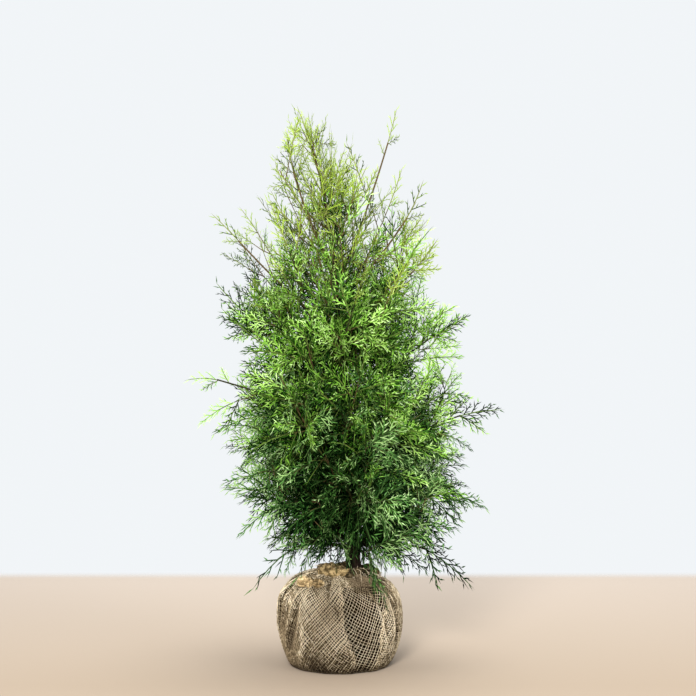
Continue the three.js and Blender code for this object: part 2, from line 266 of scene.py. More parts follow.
def makeFloor():
    finish = Finish("paleFloor", studio["floorNear"], roughness=0.8, specular=0.1)
    # Painted light: the floor's colour is darker at the front and lighter towards the back.
    depth = finish.add("ShaderNodeSeparateXYZ", {}, {0: finish.place()}, output=1)
    distant = finish.range(depth, studio["nearDepth"], studio["farDepth"])
    finish.color(finish.mix(distant, studio["floorNear"], studio["floorFar"]))
    spot = finish.add("ShaderNodeVectorMath", {"operation": "ABSOLUTE"}, {0: finish.place()})
    sideways, deep = (finish.add("ShaderNodeSeparateXYZ", {}, {0: spot}, output=k) for k in (0, 1))
    reach = finish.add("ShaderNodeMath", {"operation": "MAXIMUM"}, {0: sideways, 1: deep})
    fade = finish.add("ShaderNodeMapRange", {"interpolation_type": "SMOOTHSTEP"},
                      {"Value": reach, "From Min": studio["fadeFrom"], "From Max": studio["fadeTo"]})
    finish.feed(finish.shader.inputs["Alpha"], 1 - fade)
    half = studio["floorHalf"] / metre
    pile = Pile()
    pile.add([[-half, -half, 0], [half, -half, 0], [half, half, 0], [-half, half, 0]], [[0, 1, 2], [0, 2, 3]])
    floor = pile.build("floor", [finish.material])


def makeLights():
    world = bpy.data.worlds.new("room")
    bpy.context.scene.world = world
    world.use_nodes = True
    background = world.node_tree.nodes["Background"]
    background.inputs["Color"].default_value = (*studio["room"], 1)
    background.inputs["Strength"].default_value = studio["roomStrength"]
    for name, place, size, power, color in studio["lights"]:
        data = bpy.data.lights.new(name, "AREA")
        data.shape, data.size, data.energy, data.color = "DISK", size, power, color
        light = bpy.data.objects.new(name, data)
        light.location = place
        aim = np.array([0, 0, studio["aimHeight"]]) - np.array(place)
        light.rotation_euler = (math.atan2(math.hypot(aim[0], aim[1]), -aim[2]), 0, math.atan2(-aim[0], aim[1]))
        bpy.context.scene.collection.objects.link(light)


makeFloor()
makeLights()
print("studio lit")


# Trunk, by the source's rule.
trunk = {"foot": 204.3, "tip": 1100, "plantTop": 1259, "offset": 32, "lean": 60, "nod": 66, "sway": 9,
         "footRadius": 14.5, "tipRadius": 2.2, "flare": 5, "flareHeight": 26,
         "sides": 60, "rings": 380, "strips": 3.5, "stripDepth": 0.09, "cracks": 8.5, "crackDepth": 0.05,
         "roughDepth": 0.012}
barkTints = {"plain": (0.06, 0.035, 0.022), "patch": (0.024, 0.014, 0.009),
             "stops": [(0.3, (0.004, 0.003, 0.002)), (0.5, (0.014, 0.009, 0.006)), (0.68, (0.060, 0.040, 0.026))]}


def trunkShare(z):
    return np.clip((z - trunk["foot"]) / (trunk["plantTop"] - trunk["foot"]), 0, 1)


def trunkMiddle(z):
    u = trunkShare(np.asarray(z, float))
    x = trunk["offset"] - trunk["lean"] * u - trunk["nod"] * u ** 5.7
    return np.stack([x, trunk["sway"] * np.sin(2 * math.pi * u), z + 0 * u], axis=-1)


def trunkRadius(z):
    taper = lerp(trunk["footRadius"], trunk["tipRadius"], (z - trunk["foot"]) / (trunk["tip"] - trunk["foot"]))
    return taper + trunk["flare"] * np.exp(-(z - trunk["foot"]) / trunk["flareHeight"])


# Long fibrous strips of bark with cracks between them, as a share of the radius.
def barkRelief(angle, along, twist):
    sway = 0.5 * np.sin(along / 37 + twist) + 0.35 * np.sin(along / 15 + 2 * angle + twist)
    strips = np.abs(np.sin(trunk["strips"] * angle + sway + twist)) ** 0.6
    cracks = np.abs(np.sin(trunk["cracks"] * angle - 1.7 * sway + along / 61)) ** 0.5
    rough = np.sin(along / 4.1 + 5 * np.sin(6 * angle)) * np.sin(11 * angle + along / 9)
    return trunk["stripDepth"] * (strips - 0.7) + trunk["crackDepth"] * (cracks - 0.7) + trunk["roughDepth"] * rough


def barkFinish():
    finish = Finish("barkFinish", barkTints["plain"], roughness=0.9, specular=0.08)
    strips = finish.noise(90, 5, (1, 1, 0.12))
    patches = finish.noise(26, 3, (1, 1, 0.4))
    base = finish.add("ShaderNodeValToRGB", {"stops": barkTints["stops"]}, {"Fac": strips})
    finish.color(finish.mix(finish.range(patches, 0.45, 0.7, 0, 0.5), base, barkTints["patch"]))
    finish.rough(finish.range(strips, 0.3, 0.7, 0.95, 0.78))
    finish.bump(finish.noise(240, 4, (1, 1, 0.1)), 0.6, 0.0012)
    return finish.material


def buildTrunk(material):
    z = lerp(trunk["foot"], trunk["tip"], np.linspace(0, 1, trunk["rings"]) ** 1.1)
    angle = np.arange(trunk["sides"]) * 2 * math.pi / trunk["sides"]
    height, turn = np.meshgrid(z, angle, indexing="ij")
    radius = trunkRadius(height) * (1 + barkRelief(turn, height, 0.4))
    middle = trunkMiddle(height)
    corners = middle + np.stack([radius * np.cos(turn), radius * np.sin(turn), 0 * turn], axis=-1)
    ends = trunkMiddle(z[[0, -1]])
    pile = Pile()
    pile.add(np.concatenate([corners.reshape(-1, 3), ends]), tubeTriangles(len(z), trunk["sides"]))
    finishPiece(pile.build("trunkBark", [material], smooth=True), "bark", "trunk")


bark = barkFinish()
buildTrunk(bark)
print("trunk built")

# Limbs: name, height they leave the trunk, direction (0 right, 90 back), reach, height of tip, bare share,
# fullness, and how many shades lighter they are.
limbRows = [
    ("skirt_right", 262, 352, 272, 208, 0.32, 2.1, 0), ("skirt_front_right", 252, 293, 190, 176, 0.34, 1.4, -0.6),
    ("skirt_front_left", 272, 236, 222, 280, 0.32, 0.4, 0), ("skirt_left", 256, 187, 236, 212, 0.32, 0.3, 0),
    ("skirt_back_left", 270, 128, 248, 226, 0.32, 0.6, 0), ("skirt_back_right", 258, 58, 250, 215, 0.32, 1, 0),
    ("lower_right", 335, 7, 322, 372, 0.3, 1.7, 0), ("lower_front", 352, 285, 300, 362, 0.3, 1, 0),
    ("lower_left", 345, 196, 268, 335, 0.3, 1.15, 0), ("lower_back_left", 362, 148, 280, 395, 0.3, 1, 0),
    ("lower_back", 342, 88, 278, 372, 0, 1, 0), ("middle_right", 440, 354, 352, 590, 0.3, 1.3, 0),
    ("middle_front", 455, 306, 284, 552, 0.28, 1, 0), ("middle_front_left", 472, 236, 284, 566, 0.28, 1.2, 0),
    ("middle_left", 450, 172, 288, 515, 0.3, 2.2, 0), ("middle_back", 466, 108, 280, 590, 0.28, 1, 0),
    ("middle_back_right", 450, 48, 282, 555, 0.28, 1, 0), ("long_left", 545, 187, 386, 668, 0.32, 0.3, 1.0),
    ("high_right", 592, 12, 292, 800, 0.26, 1.2, 0), ("high_front", 606, 268, 246, 775, 0, 1, 0),
    ("high_left", 640, 168, 298, 802, 0.26, 1.05, 0), ("high_back", 600, 88, 245, 805, 0, 1, 0),
    ("upper_right", 746, 350, 232, 955, 0.24, 0.75, 0), ("upper_front", 772, 250, 180, 985, 0, 0.45, 0),
    ("upper_left", 740, 190, 290, 1018, 0.24, 0.3, -1.0), ("upper_back", 762, 80, 195, 1012, 0, 0.45, 0),
    ("right_leader", 852, 14, 145, 1262, 0.24, 0.45, -1.0), ("right_shoot", 818, 334, 222, 1072, 0.24, 0.48, 0),
    ("left_shoot", 872, 200, 125, 1188, 0.24, 0.55, -1.3),
]
firstSeed = 11  # the first limb's, and each one after it has the next
leader = {"seed": 7, "fullness": 3.2, "shade": -0.9}
clearance = 0.3  # between a bough, or the trunk's tip, and the limb that goes on from it
bough = {"rootRadius": 4.8, "endRadius": 2.6, "tipRadius": 1.7, "sides": 12, "step": 6, "arch": (75, -60),
         "inside": 0.6, "wave": 0.06, "relief": 1.3, "leastStem": 0.35, "leafShare": 0.9, "limbShare": 0.9}
twig = {"spacing": (18.5, 34), "from": (0.45, 0.75), "length": 56, "taper": (1.1, 0.6), "lengths": (0.8, 1.15),
        "radius": 1.15, "thickness": (1.15, 1, 0.75), "sag": 0.05, "spread": 0.85, "lift": (-0.12, 0.5),
        "roll": (-0.8, 0.8), "leaves": (0.85, 1.1), "sides": (4.4, 2.2), "sideTurn": (40, 62),
        "sideTaper": (1.05, 0.85), "sideLengths": (0.8, 1.1), "sideRoll": (-0.5, 0.5), "openFrom": 0.64}
spray = {"length": 134, "topLength": 98, "sideShare": 0.7, "hem": 226, "hemLean": 0.2, "hanging": 0.12,
         "sag": (0.36, -0.14), "sagSpread": (0.4, 1.35), "stray": (0.08, 0.24), "strayAbove": 0.86,
         "shrinks": (1, 0.8, 0.62), "twigRadii": [0.95, 0.7, 0.4], "greenTwigs": (-0.3, 1.3), "russetAbove": 0.55}
# The outlines of the crown and the ball are pairs of radius and height.
crownOutline = [(225, 160), (300, 330), (335, 560), (310, 800), (270, 1010), (170, 1130), (140, 1262)]
ballOutline = [(105, 0), (117, 8), (130, 42), (137, 92), (137, 130), (129, 162), (105, 187), (66, 204)]
# Each region of the crown is listed with a slot name. Limbs without a solid of their own go by the height of their
# tips.
regions = {"skirt": "foliage_low", "lower": "foliage_low", "middle": "foliage_middle", "long": "foliage_middle",
           "high": "foliage_middle", "upper": "foliage_high", "top": "foliage_high"}
regionTops = [(325, "skirt"), (450, "lower"), (610, "middle"), (740, "long"), (880, "high"), (1060, "upper")]


def crownRadius(z):
    return np.interp(z, [height for _, height in crownOutline], [radius for radius, _ in crownOutline])


def regionAt(z):
    return next((region for top, region in regionTops if z < top), "top")


class LimbPath:
    def __init__(self, root, bend, tip, across):
        t = np.linspace(0, 1, 201)[:, None]
        self.points = (1 - t) ** 2 * root + 2 * t * (1 - t) * bend + t * t * tip
        steps = np.linalg.norm(np.diff(self.points, axis=0), axis=1)
        self.length = steps.sum()
        self.shares = np.concatenate([[0], np.cumsum(steps)]) / self.length
        self.across = across

    def at(self, share):
        return np.stack([np.interp(share, self.shares, self.points[:, k]) for k in range(3)], axis=-1)

    def tangent(self, share):
        return unit(self.at(min(share + 0.01, 1)) - self.at(max(share - 0.01, 0)))


def limbPath(start, toward, reach, tipHeight):
    outward, root = outwardAt(math.radians(toward)), trunkMiddle(start)
    tip = root + outward * reach
    tip[2] = tipHeight
    arch = lerp(*bough["arch"], trunkShare(start) * 1.5)
    return LimbPath(root, (root + tip) / 2 + up * arch, tip, np.cross(outward, up))


def leaderPath():
    root, tip = trunkMiddle(trunk["tip"] + clearance), trunkMiddle(trunk["plantTop"])
    return LimbPath(root, trunkMiddle((root[2] + tip[2]) / 2), tip, np.array([0.0, 1.0, 0.0]))


class Limb:
    def __init__(self, name, path, bare, tipHeight, seed, fullness, shade=0, thin=1, beyond=0):
        self.name, self.path, self.bare, self.seed = name, path, bare, seed
        self.fullness, self.shade, self.thin, self.beyond = fullness, shade, thin, beyond
        self.main = thin == 1  # the others have no solid of their own
        self.bough = self.main and bare > 0
        self.height = float(trunkShare(tipHeight))
        self.leaf = lerp(spray["length"], spray["topLength"], self.height)
        self.lift = lerp(*twig["lift"], self.height)
        self.random = seededNumbers(seed).__next__
        self.stemEnd = max(bough["leastStem"], 1 - bough["leafShare"] * self.leaf / path.length)
        prefix = name.split("_")[0]
        self.region = regionAt(tipHeight) if not self.main else prefix if prefix in regions else "top"

    def radius(self, along):
        if along < self.bare:
            return lerp(bough["rootRadius"], bough["endRadius"], along / self.bare)
        return lerp(bough["endRadius"], bough["tipRadius"], (along - self.bare) / (1 - self.bare))

    # Where the limb leaves the trunk's bark, as a share of its length.
    def insideShare(self):
        return bough["inside"] * float(trunkRadius(self.path.points[0][2])) / self.path.length


limbs = []
for i, (name, start, toward, reach, tipHeight, bare, fill, shade) in enumerate(limbRows):
    path = limbPath(start, toward, reach, tipHeight)
    limbs.append(Limb(name, path, bare, tipHeight, firstSeed + i, fill, shade))
limbs.append(Limb("leader", leaderPath(), 0, trunk["plantTop"], leader["seed"], leader["fullness"], leader["shade"]))

# Slender inner limbs fill the crown between the main ones, and short ones, darkened with painted shade, close it
# about the trunk's foot.
inner = {"from": 335, "to": 1010, "step": 16.5, "bare": 0.22, "reach": (0.55, 0.9), "topReach": 0.62, "seed": 300,
         "thin": 0.55, "firstTurn": 4.4, "shade": -0.2, "toRight": (0.22, -0.5), "climb": (0.2, 1.5),
         "climbSpread": (0.8, 1.2), "ceiling": 1200, "fullness": (1.3, 0.08)}
footing = {"from": 238, "to": 395, "count": 23, "bare": 0.22, "reach": (75, 165), "climb": (-0.1, 0.4), "seed": 500,
           "thin": 0.55, "firstTurn": 1.1, "shade": -2.3}
# Thin open shoots rise past the outline, mostly on the left, and others stand close about the leader:
# height, direction, reach, height of tip, fullness, shade.
lances = {"seed": 700, "bare": 0.3, "thin": 0.5, "beyond": 0.4, "rows": [
    (680, 198, 245, 1045, 0.2, -1.0), (655, 183, 262, 985, 0.2, -1.0), (770, 186, 152, 1072, 0.2, -1.0),
    (880, 178, 140, 1138, 0.2, -0.8), (600, 176, 306, 862, 0.2, -0.6), (560, 200, 300, 800, 0.2, -0.6),
    (800, 8, 150, 1120, 0.2, -0.5), (700, 330, 225, 985, 0.2, -0.3), (760, 100, 190, 1060, 0.2, -0.3),
    (690, 60, 230, 980, 0.2, -0.3), (905, 262, 62, 1190, 0.4, -0.6), (960, 130, 45, 1215, 0.4, -0.6),
    (900, 150, 34, 1092, 0.7, -1.3), (870, 285, 44, 1048, 0.7, -1.3), (985, 235, 24, 1155, 0.6, -1.2),
    (930, 20, 22, 1095, 0.4, -1.0),
]}


def addSlender(kind, rule, number, start, toward, reach, tipHeight, fill, shade, beyond=0):
    path = limbPath(start, toward, reach, tipHeight)
    name, seed = "%s_%d" % (kind, number), rule["seed"] + number
    limbs.append(Limb(name, path, rule["bare"], tipHeight, seed, fill, shade, rule["thin"], beyond))


innerRandom = seededNumbers(inner["seed"]).__next__
for i in range(int((inner["to"] - inner["from"]) / inner["step"])):
    start = inner["from"] + inner["step"] * (i + 0.5 * innerRandom())
    toward = math.degrees(inner["firstTurn"] + i * goldenAngle)
    share = float(trunkShare(start))
    climb = lerp(*inner["climb"], share) * lerp(*inner["climbSpread"], innerRandom())
    reach = crownRadius(start) * lerp(*inner["reach"], innerRandom()) * lerp(1, inner["topReach"], share)
    reach *= 1 + lerp(*inner["toRight"], share) * math.cos(math.radians(toward))
    tipHeight = min(start + reach * climb, inner["ceiling"])
    addSlender("inner", inner, i, start, toward, reach, tipHeight, lerp(*inner["fullness"], share), inner["shade"])
for i in range(footing["count"]):
    start = lerp(footing["from"], footing["to"], (i + 0.5) / footing["count"])
    reach = lerp(*footing["reach"], innerRandom())
    tipHeight = start + reach * lerp(*footing["climb"], innerRandom())
    toward = math.degrees(footing["firstTurn"] + i * goldenAngle)
    addSlender("foot", footing, i, start, toward, reach, tipHeight, 1, footing["shade"])
for i, (start, toward, reach, tipHeight, fill, shade) in enumerate(lances["rows"]):
    addSlender("lance", lances, i, start, toward, reach, tipHeight, fill, shade, lances["beyond"])


def buildBoughs(material):
    pile = Pile()
    mains = [limb for limb in limbs if limb.bough]
    for limb in mains:
        count = int(limb.bare * limb.path.length / bough["step"]) + 3
        shares = np.linspace(limb.insideShare(), limb.bare, count)
        points = limb.path.at(shares)
        radii = np.array([limb.radius(share) for share in shares])
        radii *= 1 + bough["wave"] * np.sin(shares * limb.path.length / 3.7 + limb.seed)
        addTube(pile, points, radii, bough["sides"])
        corners = pile.corners[-1]
        middle = points.repeat(bough["sides"], axis=0)
        turn = np.tile(np.arange(bough["sides"]) * 2 * math.pi / bough["sides"], count)
        along = (shares * limb.path.length).repeat(bough["sides"])
        relief = 1 + bough["relief"] * barkRelief(turn, along, limb.seed)
        corners[:len(middle)] = middle + (corners[:len(middle)] - middle) * relief[:, None]
    nodes = [limb.name + "_bough" for limb in mains]
    finishPiece(pile.build("boughBark", [material], smooth=True), "bark", *nodes)


buildBoughs(bark)
print("boughs built")


# A spray is a flat feather: a midrib, side shoots by turns along it, and scale-covered branchlets along those.
# Each is a closed blade of a few faces. Lengths are shares of the spray's own length.
def addBlade(pile, path, widths, ridge, tone=0):
    path, widths = np.asarray(path, float), np.asarray(widths, float)
    heading = unit(np.gradient(path[:, :2], axis=0))
    square = np.stack([-heading[:, 1], heading[:, 0], 0 * widths], axis=-1) * widths[:, None] / 2
    crest = np.array([0, 0, ridge])
    rings = np.stack([path + square, path + crest * widths[:, None], path - square], axis=1)[:-1]
    if ridge < 0:
        rings = rings[:, ::-1]
    count = len(rings)
    faces = [[0, 1, 2]]
    for k in range(count - 1):
        for s in range(3):
            c, d = 3 * k + s, 3 * k + (s + 1) % 3
            faces += [[c, c + 3, d], [d, c + 3, d + 3]]
    last, tip = 3 * (count - 1), 3 * count
    faces += [[last + s, tip, last + (s + 1) % 3] for s in range(3)]
    pile.add(np.concatenate([rings.reshape(-1, 3), path[-1:]]), faces, tone)


def addKite(pile, root, angle, length, width, slope, ridge, tone=0):
    forward, side = outwardAt(angle)[:2], np.array([-math.sin(angle), math.cos(angle)])
    widest = 0.34 * length
    spots = [root[:2], root[:2] + forward * widest + side * width / 2,
             root[:2] + forward * widest - side * width / 2, root[:2] + forward * length]
    rise = [0, slope * widest + ridge * width, slope * widest + ridge * width, slope * length]
    corners = [[*spot, root[2] + z] for spot, z in zip(spots, rise)]
    faces = [[0, 2, 1], [3, 1, 2], [0, 1, 3], [0, 3, 2]]
    pile.add(corners, faces if ridge > 0 else [face[::-1] for face in faces], tone)


sprayForms = {
    "large": {"count": 8, "first": 0.08, "pitch": 0.082, "reach": 0.45, "taper": 0.80, "finePitch": 0.066,
              "fineReach": 0.190, "width": 0.0240, "turn": (34, 50), "fineTurn": (24, 38)},
    "small": {"count": 7, "first": 0.09, "pitch": 0.112, "reach": 0.47, "taper": 0.80, "finePitch": 0.092,
              "fineReach": 0.250, "width": 0.0330, "turn": (34, 50), "fineTurn": (24, 38)},
    "open": {"count": 6, "first": 0.16, "pitch": 0.128, "reach": 0.48, "taper": 0.75, "finePitch": 0.120,
             "fineReach": 0.17, "width": 0.0230, "turn": (30, 46), "fineTurn": (24, 40)},
}
feather = {"seed": 42, "bow": (-0.16, 0.16), "end": 0.95, "grownAtFoot": 0.62, "growth": 1.9, "lengths": (0.82, 1.1),
           "closing": 8, "slope": (-0.42, 0.36), "bend": (0.0, 0.3), "step": 0.11, "ridge": (0.2, 0.34),
           "darkAbove": 0.45, "pitches": (0.88, 1.14), "fineStart": (0.5, 0.9), "fineLengths": (0.75, 1.2),
           "fineTones": (-0.9, 1.1), "fineSlope": (-0.3, 0.3), "finePitches": (0.85, 1.15)}
ribTone = 9  # marks the faces of a midrib, which has a tint of its own


def sprayShape(random, form):
    def between(key):
        return lerp(*feather[key], random())

    def rib(share):
        return np.array([share, bow * share ** 2, 0])

    pile, width, pitch, finePitch = Pile(), form["width"], form["pitch"], form["finePitch"]
    bow = between("bow")
    side = 1 if random() > 0.5 else -1
    x = form["first"]
    while x < feather["end"]:
        base = rib(x)
        grown = min(1, feather["grownAtFoot"] + feather["growth"] * x) * (1 - x) ** form["taper"]
        length = form["reach"] * grown * between("lengths")
        turn = lerp(*form["turn"], random()) - feather["closing"] * x
        angle = math.atan(2 * bow * x) + side * math.radians(turn)
        slope = between("slope")
        bend = -side * between("bend")
        if length > pitch * 1.15:
            steps = max(2, min(4, round(length / feather["step"])))
            share = np.linspace(0, 1, steps + 1)[:, None]
            headings = angle + bend * share[:-1]
            moves = np.hstack([np.cos(headings), np.sin(headings), 0 * headings + slope]) * length / steps
            path = np.concatenate([[base], base + np.cumsum(moves, axis=0)])
            shade = -1 if random() > feather["darkAbove"] else 0
            addBlade(pile, path, width * np.linspace(1.0, 0.7, steps + 1), between("ridge"), shade)
            fineSide = -side
            walked = finePitch * between("fineStart")
            while walked < length - 0.35 * finePitch:
                part = walked / length
                root = np.array([np.interp(part, share[:, 0], path[:, k]) for k in range(3)])
                fine = form["fineReach"] * (1 - 0.6 * part) * between("fineLengths") * min(1, 0.6 + grown)
                turn = angle + bend * part + fineSide * math.radians(lerp(*form["fineTurn"], random()))
                ridge = between("ridge") * (1 if random() > 0.4 else -1)
                tone = math.floor(between("fineTones") + 1.1 * part)
                addKite(pile, root, turn, fine, width * 0.98, slope + between("fineSlope"), ridge, tone)
                fineSide = -fineSide
                walked += finePitch * between("finePitches")
        else:
            addKite(pile, base, angle, max(length, 1.5 * pitch), width, slope, 0.28, 1)
        side = -side
        x += pitch * between("pitches")
    addBlade(pile, [rib(share) for share in np.linspace(0, 1, 6)], width * np.linspace(1.15, 0.8, 6), 0.35, ribTone)
    return np.concatenate(pile.corners), np.concatenate(pile.triangles), np.concatenate(pile.tints)


shapeRandom = seededNumbers(feather["seed"]).__next__
shapes, shapeChoice = [], {}
for kind, form in sprayForms.items():
    shapeChoice[kind] = (len(shapes), form["count"])
    shapes += [sprayShape(shapeRandom, form) for _ in range(form["count"])]
print("spray shapes:", [len(faces) for _, faces, _ in shapes])

leafTints = {  # for each level of the crown, from the painted shade of the inside to the painted light and lighter new growth of the tips
    "low": [(0.001, 0.006, 0.001), (0.010, 0.038, 0.006), (0.059, 0.158, 0.030), (0.218, 0.372, 0.116),
            (0.340, 0.510, 0.210)],
    "middle": [(0.002, 0.011, 0.001), (0.022, 0.078, 0.005), (0.155, 0.345, 0.034), (0.322, 0.545, 0.115),
               (0.455, 0.670, 0.240)],
    "top": [(0.022, 0.046, 0.003), (0.095, 0.165, 0.010), (0.205, 0.308, 0.024), (0.275, 0.382, 0.054),
            (0.355, 0.460, 0.120)],
}
shadeNames = ["Shade", "Deep", "Mid", "Bright", "Fresh"]
shadeGloss = [0.02, 0.05, 0.12, 0.22, 0.28]
ribTints = {"low": (0.026, 0.064, 0.012), "middle": (0.075, 0.130, 0.020), "top": (0.150, 0.170, 0.040)}
twigTints = [("brownTwig", (0.026, 0.026, 0.010)), ("russetTwig", (0.080, 0.056, 0.022)),
             ("greenTwig", (0.115, 0.150, 0.034))]

# A spray's tint is a step on a scale of painted light and shade: lighter low down, outwards to near the outline, high
# up inside and on the right at mid height, and darker with painted shade inside the crown and at its outermost rim.
tinting = {"levels": (0.29, 0.66), "blur": (-0.13, 0.13), "low": 0.95, "outFrom": 0.25, "outTo": 0.7, "outward": 4.7,
           "rimFrom": 0.8, "rim": -5.0, "highFrom": 0.49, "high": 1.8, "insideTo": 0.75, "inside": 12.5,
           "rightHeights": (0.38, 0.72), "rightFrom": 0.2, "right": 2.2, "chance": 2.1, "climbChance": 1.3}
# Lobes and hollows of the crown, as a share of its outline. Swells: side (1 right), height, spread, amount.
lobes = {"size": 0.82, "ripple": 0.12,
         "swells": [(-1, 545, 85, 0.14), (1, 330, 70, 0.08), (-1, 960, 75, -0.25)]}
# Leaves keep clear of the ball, its collar and the trunk.
clear = {"floor": 150, "collar": (56, 225), "ballTop": 222, "fromBall": 5, "fromTrunk": 4}

sprays = []  # region, shape, root, direction, across, length, sag, tint
twigPiles = {region: Pile() for region in regions}


def acrossOf(direction, roll):
    return turned(unit(up - direction * direction[2]), direction, roll)


def ballRadius(z):
    radii, heights = zip(*ballOutline, clear["collar"])
    return np.interp(z, heights, radii)


def clearOfAll(point):
    reach = math.hypot(point[0], point[1])
    if point[2] > trunk["plantTop"] or point[2] < clear["floor"] or reach > crownRadius(point[2]):
        return False
    if point[2] < clear["ballTop"] and reach < ballRadius(point[2]) + clear["fromBall"]:
        return False
    away = np.linalg.norm(point[:2] - trunkMiddle(point[2])[:2])
    return point[2] > trunk["tip"] or away > trunkRadius(point[2]) + clear["fromTrunk"]


# The level of the crown and how far out a spray stands choose its tint, a step on the scale of painted light and
# shade, with some chance in both.
def tintFor(root, reached, random, shift):
    rule, climb = tinting, float(trunkShare(root[2]))
    height = climb + lerp(*rule["blur"], random())
    level = sum(height >= edge for edge in rule["levels"])
    outline = crownRadius(reached[2])
    out = math.hypot(reached[0], reached[1]) / outline
    paintedLight = rule["low"] * (level == 0) + rule["outward"] * (min(out, rule["outTo"]) - rule["outFrom"])
    paintedLight += rule["rim"] * max(0, out - rule["rimFrom"])
    paintedLight += max(0, height - rule["highFrom"]) * (rule["high"] + rule["inside"] * max(0, rule["insideTo"] - out))
    if rule["rightHeights"][0] < climb < rule["rightHeights"][1]:
        paintedLight += rule["right"] * max(0, reached[0] / outline - rule["rightFrom"])
    chance = lerp(-rule["chance"] + rule["climbChance"] * climb, rule["chance"], random())
    return level, int(np.clip(paintedLight + chance + shift, 0, 3))


def crownLobe(point):
    turn, z = math.atan2(point[1], point[0]), point[2]
    ripple = math.sin(5 * turn + z / 47 + 0.9) * math.sin(z / 38 + 2 * turn + 4.6)
    share = lobes["size"] + lobes["ripple"] * (ripple + 0.6 * math.sin(9 * turn - z / 29 + 3.4))
    for side, height, spread, amount in lobes["swells"]:
        share += amount * (max(0, side * math.cos(turn)) * math.exp(-((z - height) / spread) ** 2))
    return share


def addSpray(limb, root, direction, length, roll, kind, shift=0, free=False):
    random = limb.random
    across = acrossOf(direction, roll)
    sag = lerp(*spray["sag"], limb.height) * lerp(*spray["sagSpread"], random())
    first, count = shapeChoice[kind]
    shape = first + int(random() * count)
    stray = lerp(*spray["stray"], random()) if random() > spray["strayAbove"] else 0
    hanging = random() <= spray["hanging"]
    for shrink in spray["shrinks"]:
        size = length * shrink
        reached = root + direction * size - up * sag * size
        hem = 0 if hanging else spray["hem"] - spray["hemLean"] * reached[0]
        edge = (crownLobe(reached) + stray + limb.beyond) * crownRadius(reached[2])
        inside = clearOfAll(reached) and reached[2] > hem and math.hypot(reached[0], reached[1]) < edge
        if (free or inside) and clearOfAll(root + direction * size * 0.55):
            tint = tintFor(root, reached, random, shift + limb.shade)
            sprays.append((limb.region, shape, root, direction, across, size, sag, tint))
            share = np.linspace(0, 0.5, 3)[:, None]
            points = root + direction * size * share - up * sag * size * share ** 2
            green = random() < lerp(*spray["greenTwigs"], limb.height)
            wood = 2 if green else int(random() > spray["russetAbove"])
            addTube(twigPiles[limb.region], points, spray["twigRadii"], 3, wood)
            return True
    return False


# High up, some sprays are of the open kind.
def openOr(kind, limb, above):
    return "open" if limb.height > twig["openFrom"] and limb.random() > above else kind


# A side twig carries a spray at its end and smaller ones by turns along both sides, all in one plane.
def growTwig(limb, root, direction, length, roll, sides):
    random = limb.random
    leaf = limb.leaf * lerp(*twig["leaves"], random())
    end = root + direction * length
    if not clearOfAll(end):
        return
    kind = openOr("large", limb, 0.3)
    if not addSpray(limb, end - direction * 2, unit(direction + up * limb.lift * 0.25), leaf, roll, kind):
        return
    across = acrossOf(direction, roll)
    wood = int(random() > 0.4)
    points = np.array([root, root + direction * length * 0.5 - up * length * twig["sag"], end])
    addTube(twigPiles[limb.region], points, [twig["radius"] * share for share in twig["thickness"]], 5, wood)
    for k in range(sides):
        side = -1 if k % 2 else 1
        share = (k + 0.35 + 0.5 * random()) / sides
        turn = side * math.radians(lerp(*twig["sideTurn"], random()))
        outward = direction * math.cos(turn) + across * math.sin(turn)
        size = leaf * spray["sideShare"] * lerp(*twig["sideLengths"], random()) * lerp(*twig["sideTaper"], share)
        rollOff = roll + lerp(*twig["sideRoll"], random())
        kind = openOr("small", limb, 0.4)
        addSpray(limb, root + direction * length * share, unit(outward), size, rollOff, kind)


# Side twigs turn about the stem by the golden angle, and upright shoots stand among them.
def growLimb(limb):
    random, path = limb.random, limb.path
    start = 0 if limb.name == "leader" else limb.insideShare()
    if limb.bough:
        start = limb.bare + clearance / path.length
    shares = np.linspace(start, limb.stemEnd + 0.02, 10)
    radii = [limb.radius(share) * bough["limbShare"] * limb.thin for share in shares]
    addTube(twigPiles[limb.region], path.at(shares), radii, 7, int(limb.height > 0.7))
    first = max(limb.bare * lerp(*twig["from"], limb.height), 0.1)
    spacing = lerp(*twig["spacing"], limb.height) / limb.fullness
    count = int(round((limb.stemEnd - first) * path.length / spacing)) + 1
    sides = round(lerp(*twig["sides"], limb.height) * min(1, limb.fullness + 0.15))
    for i in range(count):
        along = lerp(first, limb.stemEnd, (i + 0.3 + 0.5 * random()) / count)
        root, tangent = path.at(along), path.tangent(along)
        length = twig["length"] * lerp(*twig["taper"], i / count) * lerp(*twig["lengths"], random())
        roll = lerp(*twig["roll"], random())
        side = turned(path.across, tangent, i * goldenAngle + limb.seed)
        direction = unit(tangent * math.cos(twig["spread"]) + side * math.sin(twig["spread"]) + up * limb.lift)
        growTwig(limb, root, direction, length, roll, sides)
    growTip(limb)


# A limb's end carries one spray ahead and one on each side.
tipSprays = {"sparseBelow": 0.5, "openFrom": 0.8, "overlap": 3, "ahead": 0.9, "sides": 0.62, "sparseSides": 0.4,
             "spread": 0.75, "roll": 0.3, "shade": 0.2}


def growTip(limb):
    rule, root = tipSprays, limb.path.at(limb.stemEnd)
    direction = unit(limb.path.at(1.0) - root)
    sparse = limb.fullness < rule["sparseBelow"]
    kind = "open" if sparse or limb.height > rule["openFrom"] else "large"
    length = limb.leaf * rule["ahead"] + rule["overlap"]
    addSpray(limb, root - direction * rule["overlap"], direction, length, rule["roll"], kind, 0.0, limb.main)
    across, length = acrossOf(direction, rule["roll"]), limb.leaf * (rule["sparseSides"] if sparse else rule["sides"])
    for side in (-1, 1):
        outward = unit(direction * math.cos(rule["spread"]) + side * across * math.sin(rule["spread"]))
        spot = limb.path.at(limb.stemEnd - 0.02 - 0.03 * side)
        addSpray(limb, spot, outward, length, rule["roll"], "small", rule["shade"], limb.main)


